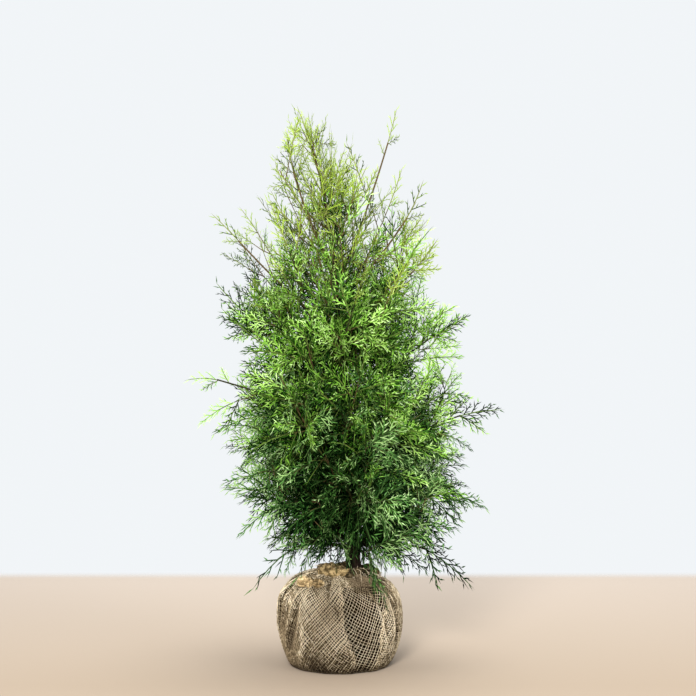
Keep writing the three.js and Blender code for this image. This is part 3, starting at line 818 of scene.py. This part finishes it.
# Upright shoots stand on the fuller limbs, with short twigs up their stems.
shoot = {"every": 90, "fullFrom": 0.5, "from": 0.2, "along": 0.55, "sideways": 0.45, "rise": (0.7, 1.5),
         "lengths": (95, 150), "topShare": 0.75, "least": 40, "shorten": 0.8, "bend": 0.12, "leafShare": (0.8, 1.0),
         "shade": 0.6, "radii": (1.6, 0.8), "twigStep": 24, "twigLengths": (30, 16), "twigSpread": 0.8}


def growShoots(limb):
    if limb.fullness <= shoot["fullFrom"]:
        return
    random, path = limb.random, limb.path
    count = int(path.length * (1 - limb.bare) / shoot["every"] * limb.fullness)
    for k in range(count):
        along = lerp(max(limb.bare, shoot["from"]), limb.stemEnd, (k + 0.2 + 0.6 * random()) / count)
        root, tangent = path.at(along), path.tangent(along)
        side = turned(path.across, tangent, 2 * math.pi * random())
        rise = lerp(*shoot["rise"], limb.height)
        direction = unit(tangent * shoot["along"] + side * shoot["sideways"] + up * rise)
        length = lerp(*shoot["lengths"], random()) * lerp(1, shoot["topShare"], limb.height)
        while length > shoot["least"] and not clearOfAll(root + direction * (length + 0.5 * limb.leaf)):
            length *= shoot["shorten"]
        if length <= shoot["least"]:
            continue
        bend = unit(tangent) * length * shoot["bend"]
        share = np.linspace(0, 1, 5)[:, None]
        points = root + direction * length * share + bend * share * (1 - share) * 2
        kind = "open" if limb.height > twig["openFrom"] else "large"
        size, roll = limb.leaf * lerp(*shoot["leafShare"], random()), lerp(*twig["roll"], random())
        if not addSpray(limb, points[-1] - direction * 2, direction, size, roll, kind, shoot["shade"]):
            continue
        wood = int(random() > 0.3)
        addTube(twigPiles[limb.region], points, np.linspace(*shoot["radii"], 5), 5, wood)
        steps = max(2, int(length / shoot["twigStep"]))
        for i in range(steps):
            spot = root + direction * length * (i + 0.6) / steps
            side = turned(path.across, direction, i * goldenAngle + limb.seed + k)
            spread = shoot["twigSpread"]
            heading = unit(direction * math.cos(spread) + side * math.sin(spread) + up * 0.1)
            growTwig(limb, spot, heading, lerp(*shoot["twigLengths"], i / steps), lerp(*twig["roll"], random()), 2)


for limb in limbs:
    growLimb(limb)
    growShoots(limb)
print("sprays grown:", len(sprays))


def leafMaterials():
    leaves = [Finish(level + name, color, roughness=0.5, specular=gloss).material
              for level, colors in leafTints.items() for name, color, gloss in zip(shadeNames, colors, shadeGloss)]
    return leaves + [Finish(level + "Rib", color, 0.7, 0.1).material for level, color in ribTints.items()]


# All sprays of a region as one piece.
def buildLeaves(name, members, materials):
    pile, shades = Pile(), len(shadeNames)
    for number, (corners, faces, tones) in enumerate(shapes):
        chosen = [row for row in members if row[1] == number]
        if not chosen:
            continue
        root, direction, across = (np.array([row[k] for row in chosen])[:, None] for k in (2, 3, 4))
        length, sag = (np.array([row[k] for row in chosen])[:, None, None] for k in (5, 6))
        face = np.cross(direction, across)
        x, y, z = (corners[None, :, k, None] for k in range(3))
        placed = root + length * (x * direction + y * across + z * face - sag * x ** 2 * up)
        triangles = faces[None] + (np.arange(len(chosen)) * len(corners))[:, None, None]
        level, tone = (np.array([row[7][k] for row in chosen])[:, None] for k in (0, 1))
        tints = shades * level + np.clip(tone + tones[None], 0, shades - 1)
        tints = np.where(tones[None] == ribTone, shades * len(leafTints) + level, tints)
        pile.add(placed, triangles, tints.ravel())
    print(name, "triangles", pile.size())
    return pile.build(name, materials)


def buildFoliage():
    leaves, twigs = leafMaterials(), [Finish(name, color, 0.8, 0.08).material for name, color in twigTints]
    for region, slotName in regions.items():
        nodes = [limb.name + "_foliage" for limb in limbs if limb.region == region and limb.main]
        rows = [row for row in sprays if row[0] == region]
        pieces = [buildLeaves(region + "Leaves", rows, leaves),
                  twigPiles[region].build(region + "Twigs", twigs, smooth=True)]
        print(region, "twig triangles", twigPiles[region].size())
        for piece in pieces:
            finishPiece(piece, slotName, *nodes)


buildFoliage()
print("foliage built")

# Root ball: dark soil inside an open net of jute threads, drawn up in pleats to the collar.
ball = {
    "height": 204, "pleats": 9, "pleatDepth": 3.4, "bulge": 3, "girth": 135, "seam": 115, "neck": 47, "drawIn": 1.6,
    "shoulder": {"push": 5, "height": 160, "spread": 30, "toward": 195},
    "folds": 23, "foldDepth": 2.6, "fineFolds": 41, "fineFoldDepth": 0.5,
    "creases": [  # from direction and height, to direction and height, depth, width
        (263, 166, 288, 36, 8.0, 6), (256, 200, 262, 150, 4.0, 5), (279, 156, 288, 84, 5.5, 5),
        (304, 196, 324, 60, 5.0, 7), (232, 176, 212, 40, 6.0, 9), (322, 196, 340, 50, 6.0, 8),
        (204, 190, 190, 70, 5.0, 8), (244, 120, 236, 20, 4.0, 9), (20, 190, 40, 50, 7.0, 9),
        (75, 196, 62, 40, 6.0, 8), (120, 192, 135, 30, 7.0, 9), (160, 196, 170, 80, 6.0, 8),
    ],
    "stainsAndPaintedLight": [  # direction, height, spread, how much darker (a negative amount makes it lighter): some are stain marks, those at the left and right sides and under the collar at the front right are painted shade, and those that lighten the front are painted highlights
        (212, 80, 30, 0.7), (186, 120, 70, 1.3), (206, 44, 46, 1.3), (198, 156, 30, 0.5), (222, 140, 24, 0.4),
        (238, 30, 34, 0.5), (267, 96, 36, -1.9), (254, 146, 30, -1.3), (312, 196, 46, 2.3), (70, 60, 34, 1.0),
        (150, 120, 24, 0.8), (358, 100, 60, 1.1),
    ],
}
soil = {"rings": 90, "around": 200, "lump": 0.5, "under": 1.6, "foot": 2.2, "top": (10, 4, 205.5)}
net = {
    "open": {"pitch": 6.1, "tilt": -11, "width": 0.74, "thick": 0.9, "lift": -0.4, "seed": 101, "wander": 2,
             "age": -0.5, "contrast": 0.9},
    "close": {"pitch": 4.8, "tilt": -20, "width": 1.22, "thick": 0.9, "lift": 0.9, "seed": 202, "wander": 4,
              "age": -0.2, "contrast": 1.9},
    "sag": {"middle": 50, "length": 80, "depth": 44, "lean": 0.3},
    "under": {"pitch": 6.6, "width": 2.3, "seed": 303, "height": 1.5, "wave": 0.45, "slip": 0.4},
    "window": {"left": (18, 3), "right": (34, 48), "top": 186, "margin": 5},
    "slip": 0.09, "toneSpread": 0.15, "widths": (0.85, 1.15),
}


def smoothCurve(corners, count):
    points = np.array([corners[0]] + list(corners) + [corners[-1]], float)
    t = np.linspace(0, len(corners) - 1, count)
    i = np.minimum(t.astype(int), len(corners) - 2)
    w = (t - i)[:, None]
    p0, p1, p2, p3 = points[i], points[i + 1], points[i + 2], points[i + 3]
    v0, v1 = (p2 - p0) / 2, (p3 - p1) / 2
    return (2 * p1 - 2 * p2 + v0 + v1) * w ** 3 + (-3 * p1 + 3 * p2 - 2 * v0 - v1) * w ** 2 + v0 * w + p1


ballProfile = np.concatenate([smoothCurve(ballOutline, 200), [(58, 205.2), (ball["neck"], 205.6)]])
ballRise = np.concatenate([[0], np.cumsum(np.linalg.norm(np.diff(ballProfile, axis=0), axis=1))])
ballOut = unit(np.gradient(ballProfile, ballRise, axis=0))[:, ::-1] * [1, -1]


def easeIn(value):
    value = np.clip(value, 0, 1)
    return value * value * (3 - 2 * value)


# The turn from a direction, between half a turn either way.
def turnFrom(turn, direction):
    return np.mod(turn - direction + math.pi, 2 * math.pi) - math.pi


# How far folds and creases push the cloth out: direction in radians, rise in millimetres along the profile.
def clothPush(turn, rise):
    r, z = (np.interp(rise, ballRise, ballProfile[:, k]) for k in (0, 1))
    h = np.clip(z / ball["height"], 0, 1)
    gather = np.maximum(0, h - 0.3) / 0.7
    push = ball["pleatDepth"] * gather * np.sin(ball["pleats"] * turn + 3 * h)
    push += ball["bulge"] * np.sin(math.pi * h) * np.sin(2 * turn + 1.2 + 2 * h)
    shoulder = ball["shoulder"]
    facing = np.maximum(0, np.cos(turn - math.radians(shoulder["toward"])))
    push += shoulder["push"] * facing * np.exp(-(((z - shoulder["height"]) / shoulder["spread"]) ** 2))
    top = easeIn((h - 0.5) / 0.5)
    wander = 1.5 * np.sin(3 * turn + 0.7) + 4 * h
    push += ball["foldDepth"] * top * (np.abs(np.sin(ball["folds"] / 2 * turn + wander)) - 0.6)
    push += ball["fineFoldDepth"] * (0.35 + top) * np.sin(ball["fineFolds"] * turn + 2 * wander)
    push += 1.1 * np.sin(7 * turn + rise / 31) + 0.9 * np.sin(13 * turn - rise / 23 + 1)
    for fromTurn, fromZ, toTurn, toZ, depth, width in ball["creases"]:
        share = np.clip((fromZ - z) / (fromZ - toZ), 0, 1)
        side = turnFrom(turn, np.radians(lerp(fromTurn, toTurn, share))) * r
        beyond = np.maximum(0, np.maximum(z - fromZ, toZ - z))
        fade = np.exp(-((beyond / 14) ** 2)) * easeIn(share * 4 + 0.25) * easeIn((1 - share) * 4 + 0.25)
        push -= depth * fade * np.exp(-((side / width) ** 2))
        push += 0.6 * depth * fade * np.exp(-(((side + 1.8 * width) / (1.1 * width)) ** 2))
    return (push - ball["drawIn"]) * easeIn(rise / 20 + 0.15) * easeIn((ballRise[-1] - rise) / 18 + 0.1)


def clothPoint(turn, rise, lift=0.0):
    r, z = (np.interp(rise, ballRise, ballProfile[:, k]) for k in (0, 1))
    outR, outZ = (np.interp(rise, ballRise, ballOut[:, k]) for k in (0, 1))
    push = clothPush(turn, rise)
    reach = r + (push + lift) * outR
    z = np.maximum(z + (push + lift) * outZ, 0.6)
    return np.stack([reach * np.cos(turn), reach * np.sin(turn), z], axis=-1)


# The tone of a thread, 0 pale to 2 dark: painted shade darkens it in creases, by the floor and by the collar, painted
# highlight lightens it on the ridges, and the listed marks add stain marks, painted shade and painted highlights.
def threadTone(turn, rise, z, tone):
    shade = tone - 0.13 * (clothPush(turn, rise) + ball["drawIn"])
    shade = shade + 2.4 * np.exp(-z / 12) + 0.7 * easeIn((z - 168) / 30)
    for toward, height, spread, amount in ball["stainsAndPaintedLight"]:
        side = turnFrom(turn, math.radians(toward)) * ball["girth"]
        shade = shade + amount * np.exp(-(side ** 2 + (z - height) ** 2) / spread ** 2)
    return np.clip(np.floor(shade), 0, 2).astype(int)


# The open net shows in a window at the front right, which widens upwards.
def inWindow(turn, z, margin=0):
    window = net["window"]
    offset = np.degrees(turnFrom(turn, 1.5 * math.pi))
    left, right = (lerp(*window[side], np.clip(z / 160, 0, 1.1)) + 2.5 * np.sin(z / 23) for side in ("left", "right"))
    return (offset > left - margin) & (offset < right + margin) & (z < window["top"] + margin)


# Two families of threads pass over and under each other at every crossing.
def weave(pile, kind, covers):
    random, sag = np.random.default_rng(kind["seed"]), net["sag"]
    tilt, pitch, extent = math.radians(kind["tilt"]), kind["pitch"], math.pi * ball["girth"] + 14
    count = int(1.25 * math.hypot(extent, ballRise[-1]) / pitch)
    number = np.arange(-count, count + 1)
    for family in (0, 1):
        for i in number:
            slip = random.normal(0, net["slip"], 3)[0]
            tone = kind["age"] + random.uniform(-net["toneSpread"], net["toneSpread"])
            tone = tone + kind["contrast"] * random.uniform(0, 1, len(number))
            phase = random.uniform(0, 6.28, 2)
            wide = kind["width"] * random.uniform(*net["widths"])
            a = (i + slip + 0.13 * np.sin(number / 5.3 + phase[0]) + 0.06 * np.sin(number / 2.1 + phase[1])) * pitch
            b = number * pitch
            a, b = (a, b) if family == 0 else (b, a)
            x = a * math.cos(tilt) - b * math.sin(tilt)
            y = a * math.sin(tilt) + b * math.cos(tilt)
            swing = (x - sag["middle"]) / sag["length"]
            rise = y + ballRise[-1] / 2 + sag["depth"] * (0.5 - np.cos(swing))
            rise = rise + kind["wander"] * np.sin(x / 33 + y / 60 + 1)
            flat = x - sag["lean"] * y * np.sin(swing) + kind["wander"] * np.sin(y / 36 - x / 70)
            turn = flat / ball["girth"] + math.radians(ball["seam"] + 180)
            over = np.where((i + number + family) % 2, 0.5, -0.5) * kind["thick"]
            points = clothPoint(turn, np.clip(rise, 0, ballRise[-1]), kind["lift"] + over)
            inside = (rise > -2) & (rise < ballRise[-1]) & (np.abs(flat) < extent) & covers(turn, points[:, 2])
            edges = np.flatnonzero(np.diff(np.concatenate([[0], inside, [0]]).astype(int)))
            for low, high in zip(edges[::2], edges[1::2]):
                if high - low > 2:
                    path = points[low:high]
                    tones = threadTone(turn[low:high], rise[low:high], path[:, 2], tone[low:high])
                    tones = np.concatenate([tones[1:].repeat(6), tones[:1].repeat(3), tones[-1:].repeat(3)])
                    outward = unit(path * [1, 1, 0] + up * np.clip(path[:, 2:] - 120, 0, 90) * 1.6)
                    addTube(pile, path, wide / 2, 3, tones, kind["thick"] / wide * 1.5, outward)


def weaveUnderside(pile):
    kind, reach = net["under"], ballOutline[0][0] + 1
    pitch, random = kind["pitch"], np.random.default_rng(kind["seed"])
    count = int(reach / pitch)
    for family in (0, 1):
        for i in range(-count, count + 1):
            across = i * pitch + random.normal(0, kind["slip"])
            half = int(math.sqrt(max(0, reach ** 2 - across ** 2)) / pitch)
            steps = np.arange(-half, half + 1)
            if len(steps) > 2:
                z = kind["height"] + np.where((i + steps + family) % 2, kind["wave"], -kind["wave"])
                line = [steps * pitch, np.full(len(steps), across), z]
                path = np.stack(line if family else [line[1], line[0], line[2]], axis=-1)
                addTube(pile, path, kind["width"] / 2, 3, 0, 0.6)


juteTints = {  # light, middle and dark
    "paleJute": ((0.92, 0.80, 0.60), (0.64, 0.53, 0.36), (0.25, 0.185, 0.11)),
    "plainJute": ((0.46, 0.37, 0.23), (0.27, 0.205, 0.122), (0.09, 0.064, 0.036)),
    "darkJute": ((0.22, 0.165, 0.10), (0.105, 0.075, 0.044), (0.030, 0.021, 0.012)),
    "agedJute": ((0.56, 0.41, 0.20), (0.180, 0.125, 0.055), (0.036, 0.025, 0.010)),
    "knotJute": ((0.70, 0.53, 0.30), (0.320, 0.225, 0.110), (0.070, 0.047, 0.021)),
    "shadedJute": ((0.14, 0.10, 0.05), (0.038, 0.028, 0.013), (0.008, 0.006, 0.003)),
}
soilTints = {"plain": (0.010, 0.006, 0.004),
             "stops": [(0.35, (0.001, 0.001, 0.001)), (0.55, (0.005, 0.003, 0.002)), (0.72, (0.016, 0.010, 0.006))]}


# Threads have fine fibres, and whole cloth has a woven relief besides, with painted shade in the relief's hollows.
# All jute is darker within 5 cm of the floor.
def juteFinish(name, cloth=False):
    light, middle, dark = juteTints[name]
    finish = Finish(name, middle, roughness=0.93, specular=0.12)
    patches = finish.noise(17, 4)
    fibres = finish.noise(330, 3)
    height = finish.add("ShaderNodeSeparateXYZ", {}, {0: finish.place()}, output=2)
    tone = patches * 0.62 + fibres * 0.5 + finish.range(height, 0.0, 0.05, -0.16, 0.0)
    relief = fibres
    if cloth:
        size = {"Scale": 95, "Distortion": 2.2, "Detail": 2}
        waves = [finish.add("ShaderNodeTexWave", {"wave_type": "BANDS", "bands_direction": direction},
                            {"Vector": finish.place(stretch), **size})
                 for direction, stretch in (("X", (1, 0.4, 0.7)), ("Z", (1, 0.3, 1)))]
        relief = waves[0] * waves[1] + 0.4 * fibres
        # painted shade: the cloth is darker where its woven relief is low
        shade = finish.range(relief, 0.1, 0.8, 0.45, 1.0)
        tone = tone + 0.2 * (shade - 0.8) + finish.range(finish.noise(105, 4), 0.42, 0.62, -0.12, 0.10)
    stops = [(0.34, dark), (0.52, middle), (0.70, light)]
    finish.color(finish.add("ShaderNodeValToRGB", {"stops": stops}, {"Fac": tone}))
    finish.bump(relief, 0.7, 0.0012 if cloth else 0.0006)
    return finish.material


def soilFinish():
    finish = Finish("soilFinish", soilTints["plain"], roughness=1.0, specular=0.0)
    crumbs = finish.noise(150, 5)
    finish.color(finish.add("ShaderNodeValToRGB", {"stops": soilTints["stops"]}, {"Fac": crumbs}))
    finish.bump(crumbs, 0.9, 0.003)
    return finish.material


jute = [juteFinish(name) for name in ("paleJute", "plainJute", "darkJute")]
agedJute, knotJute, shadedJute = (juteFinish(name, cloth=True) for name in ("agedJute", "knotJute", "shadedJute"))


def buildSoil():
    rings = np.linspace(0, ballRise[-1], soil["rings"])
    turns = np.arange(soil["around"]) * 2 * math.pi / soil["around"]
    rise, turn = np.meshgrid(rings, turns, indexing="ij")
    lumps = soil["lump"] * np.sin(23 * turn + rise / 5) * np.sin(rise / 7 + 9 * turn) - soil["under"]
    corners = clothPoint(turn, rise, lumps)
    corners[0, :, 2] = soil["foot"]
    pile = Pile()
    ends = [[0, 0, soil["foot"]], soil["top"]]
    pile.add(np.concatenate([corners.reshape(-1, 3), ends]), tubeTriangles(len(rings), len(turns)))
    finishPiece(pile.build("soilCore", [soilFinish()], smooth=True), "hessian", "root_ball")


def buildNet():
    opened, closed = Pile(), Pile()
    weave(opened, net["open"], lambda turn, z: inWindow(turn, z, net["window"]["margin"]))
    weave(closed, net["close"], lambda turn, z: ~inWindow(turn, z))
    weaveUnderside(opened)
    print("thread triangles", opened.size(), closed.size())
    finishPiece(opened.build("openHessian", jute, smooth=True), "hessian", "root_ball")
    finishPiece(closed.build("closeHessian", jute, smooth=True), "hessian", "root_ball")


buildSoil()
buildNet()
print("root ball wrapped")

# The collar: the gathered edge of the cloth, folded over outwards, with a taller flap at the front left.
collar = {"middle": (12, 4), "inner": 45, "outer": 55, "flareOut": 5, "height": 12, "flap": 13, "flapToward": 235,
          "drop": 5, "base": 204.3, "around": 260, "thick": 1.3, "crumple": 1.5, "ruffle": 1.6, "shadeToward": 340,
          "fold": [(0.10, 0.0), (0.16, 0.35), (0.30, 0.75), (0.52, 0.98), (0.80, 0.96), (0.98, 0.72), (1.0, 0.42),
                   (0.94, 0.14), (0.90, 0.04)]}


def collarHeight(turn):
    flap = np.maximum(0, np.cos(turn - math.radians(collar["flapToward"]))) ** 2
    return collar["height"] + collar["flap"] * flap + 3 * np.sin(5 * turn), flap


def buildCollar():
    line = smoothCurve(collar["fold"], 22)
    out = unit(np.gradient(line, axis=0))[:, ::-1] * [-1, 1]
    span = collar["outer"] + collar["flareOut"] - collar["inner"]
    half = np.array([collar["thick"] / span, collar["thick"] / collar["height"]])
    loop = np.concatenate([line + out * half, (line - out * half)[::-1]])
    share, rise = loop[:, 0][None], loop[:, 1][None]
    angle = (np.arange(collar["around"]) * 2 * math.pi / collar["around"])[:, None]
    height, flap = collarHeight(angle)
    ruffle = np.sin(7 * angle) + 0.5 * np.sin(12 * angle + 1)
    crumple = collar["crumple"] * (np.sin(19 * angle + 5 * rise) * np.sin(11 * angle - 6 * rise + 1)
                                   + 0.6 * np.sin(31 * angle + 9 * share))
    radius = collar["inner"] + span * share + collar["ruffle"] * ruffle * (0.4 + 0.6 * rise)
    radius = radius + crumple * (0.3 + 0.7 * rise) + 1.6 * collar["drop"] * flap * share ** 2
    z = collar["base"] + np.maximum(height * rise * (1 + 0.05 * np.sin(17 * angle)), 0.2)
    z = z - collar["drop"] * flap * share ** 2
    x = collar["middle"][0] + radius * np.cos(angle)
    y = collar["middle"][1] + radius * np.sin(angle)
    corners = np.stack([x, y, z], axis=-1)
    around, sides = corners.shape[:2]
    ring, side = np.meshgrid(np.arange(around), np.arange(sides), indexing="ij")
    a, b = ring * sides + side, ring * sides + (side + 1) % sides
    c, d = ((ring + 1) % around) * sides + (side + 1) % sides, ((ring + 1) % around) * sides + side
    faces = np.stack([a, c, b, a, d, c], axis=-1).reshape(-1, 3)  # two to each square
    shaded = (ring * 2 * math.pi / around).ravel() - math.radians(collar["shadeToward"])
    shaded = np.cos(shaded) + 0.25 * np.sin(5 * shaded + side.ravel() * 0.4) > 0.25
    pile = Pile()
    pile.add(corners, faces, shaded.repeat(2).astype(int))
    piece = pile.build("collarCloth", [agedJute, shadedJute], smooth=True)
    finishPiece(piece, "hessian_edge", "hessian_collar")


knots = {"hessian_knot_left": {"toward": 230, "out": 100, "long": 30, "wide": 15, "high": 13},
         "hessian_knot_back": {"toward": 48, "out": 96, "long": 27, "wide": 15, "high": 12}}
knotted = {"height": 191, "askew": 0.5, "waist": 0.42, "strand": 3.1, "strandShare": 0.72,
           "strands": ((-2.5, 0.25), (2.5, -0.2), (0.5, 0.6)), "frayCount": 16, "frayLengths": (7, 14)}


# The middle of a knot, and the level direction along it.
def knotPlace(size, lift):
    angle = math.radians(size["toward"])
    middle = outwardAt(angle) * size["out"] + up * (knotted["height"] + lift)
    return middle, outwardAt(angle + math.pi / 2 + knotted["askew"])


# A knot of gathered cloth: pleated ears either side of a tight waist, and a strand wound round it.
def buildKnot(name, size):
    middle, level = knotPlace(size, 1)
    along = unit(level - up * 0.12)
    across = unit(np.cross(up, along))
    rise = np.cross(along, across)

    def spot(t, sideways, upward):
        return middle + along * t[..., None] + across * sideways[..., None] + rise * upward[..., None]

    share, turn = np.linspace(-1, 1, 61), np.arange(90) * 2 * math.pi / 90
    t, a = np.meshgrid(share, turn, indexing="ij")
    girth = np.sqrt(np.clip(1 - t ** 4, 0.015, 1)) * (1 - knotted["waist"] * np.exp(-((3.1 * t) ** 2)))
    girth *= 1 + (0.08 + 0.16 * np.abs(t)) * np.sin(7 * a + 2.4 * t) + 0.07 * np.sin(15 * a - 3 * t)
    flatten = np.where(np.sin(a) < 0, 0.75, 1.0)
    corners = spot(t * size["long"] * (1 + 0.05 * np.sin(5 * a)), girth * size["wide"] * np.cos(a),
                   girth * size["high"] * np.sin(a) * flatten)
    ends = middle + along * size["long"] * np.array([[-1.0], [1.0]])
    pile = Pile()
    pile.add(np.concatenate([corners.reshape(-1, 3), ends]), tubeTriangles(len(share), len(turn)))
    a = np.linspace(0, 2 * math.pi, 49)[:-1]
    for shift, lean in knotted["strands"]:
        loop = spot(shift + 6 * lean * np.cos(a), knotted["strandShare"] * size["wide"] * np.cos(a),
                    knotted["strandShare"] * size["high"] * np.sin(a))
        path = np.concatenate([loop, loop[:2]])
        addTube(pile, path, knotted["strand"] + 0.4 * np.sin(9 * np.linspace(0, 6.28, len(path))), 10)
    piece = pile.build(name.replace("hessian_knot_", "") + "KnotCloth", [knotJute], smooth=True)
    finishPiece(piece, "hessian_edge", name)


# Frayed thread ends along the collar and the knots, and a few long loose ones (direction, length).
fray = {"count": 150, "radius": 0.42, "lengths": (6, 15), "seed": 404, "droop": 0.3, "looseDroop": 0.55,
        "loose": ((296, 30), (303, 42), (310, 26), (288, 24), (120, 34), (60, 28), (20, 30), (180, 26))}


def buildFray():
    random = np.random.default_rng(fray["seed"])
    pile = Pile()
    middle = np.array([*collar["middle"], collar["base"]])

    def thread(start, heading, length, droop=fray["droop"]):
        share = np.linspace(0, 1, 6)[:, None]
        sway = random.normal(0, 0.12, 3) * length
        points = start + heading * length * share + sway * share ** 2 - up * droop * length * share ** 2
        addTube(pile, points, np.linspace(1.1, 0.6, 6) * fray["radius"], 4)

    for _ in range(fray["count"]):
        turn = random.uniform(0, 2 * math.pi)
        height, _ = collarHeight(turn)
        outward = outwardAt(turn)
        edge = random.uniform() < 0.5
        reach = collar["outer"] + collar["flareOut"] * (1.0 if edge else 0.6)
        start = middle + outward * (reach - 1) + up * height * (0.15 if edge else 0.9)
        heading = unit(outward * random.uniform(0.5, 1) + up * random.uniform(-0.9, 0.2 if edge else 0.9)
                       + random.normal(0, 0.3, 3))
        thread(start, heading, random.uniform(*fray["lengths"]))
    for size in knots.values():
        center, along = knotPlace(size, 2)
        for end in (-1, 1):
            for _ in range(knotted["frayCount"]):
                heading = unit(along * end + random.normal(0, 0.4, 3))
                thread(center + along * end * size["long"] * 0.85, heading, random.uniform(*knotted["frayLengths"]))
    for toward, length in fray["loose"]:
        outward = outwardAt(math.radians(toward))
        heading = unit(outward * 0.75 + up * 0.1 + random.normal(0, 0.2, 3))
        thread(middle + up * 15 + outward * (collar["outer"] + 3), heading, length, fray["looseDroop"])
    finishPiece(pile.build("frayedThreads", jute[:1], smooth=True), "hessian_edge", "hessian_collar")


buildCollar()
for name, size in knots.items():
    buildKnot(name, size)
buildFray()
print("collar, knots and frayed ends built")

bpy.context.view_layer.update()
cadBox = [[round(value, 4) for value in corner] for corner in cadBox]
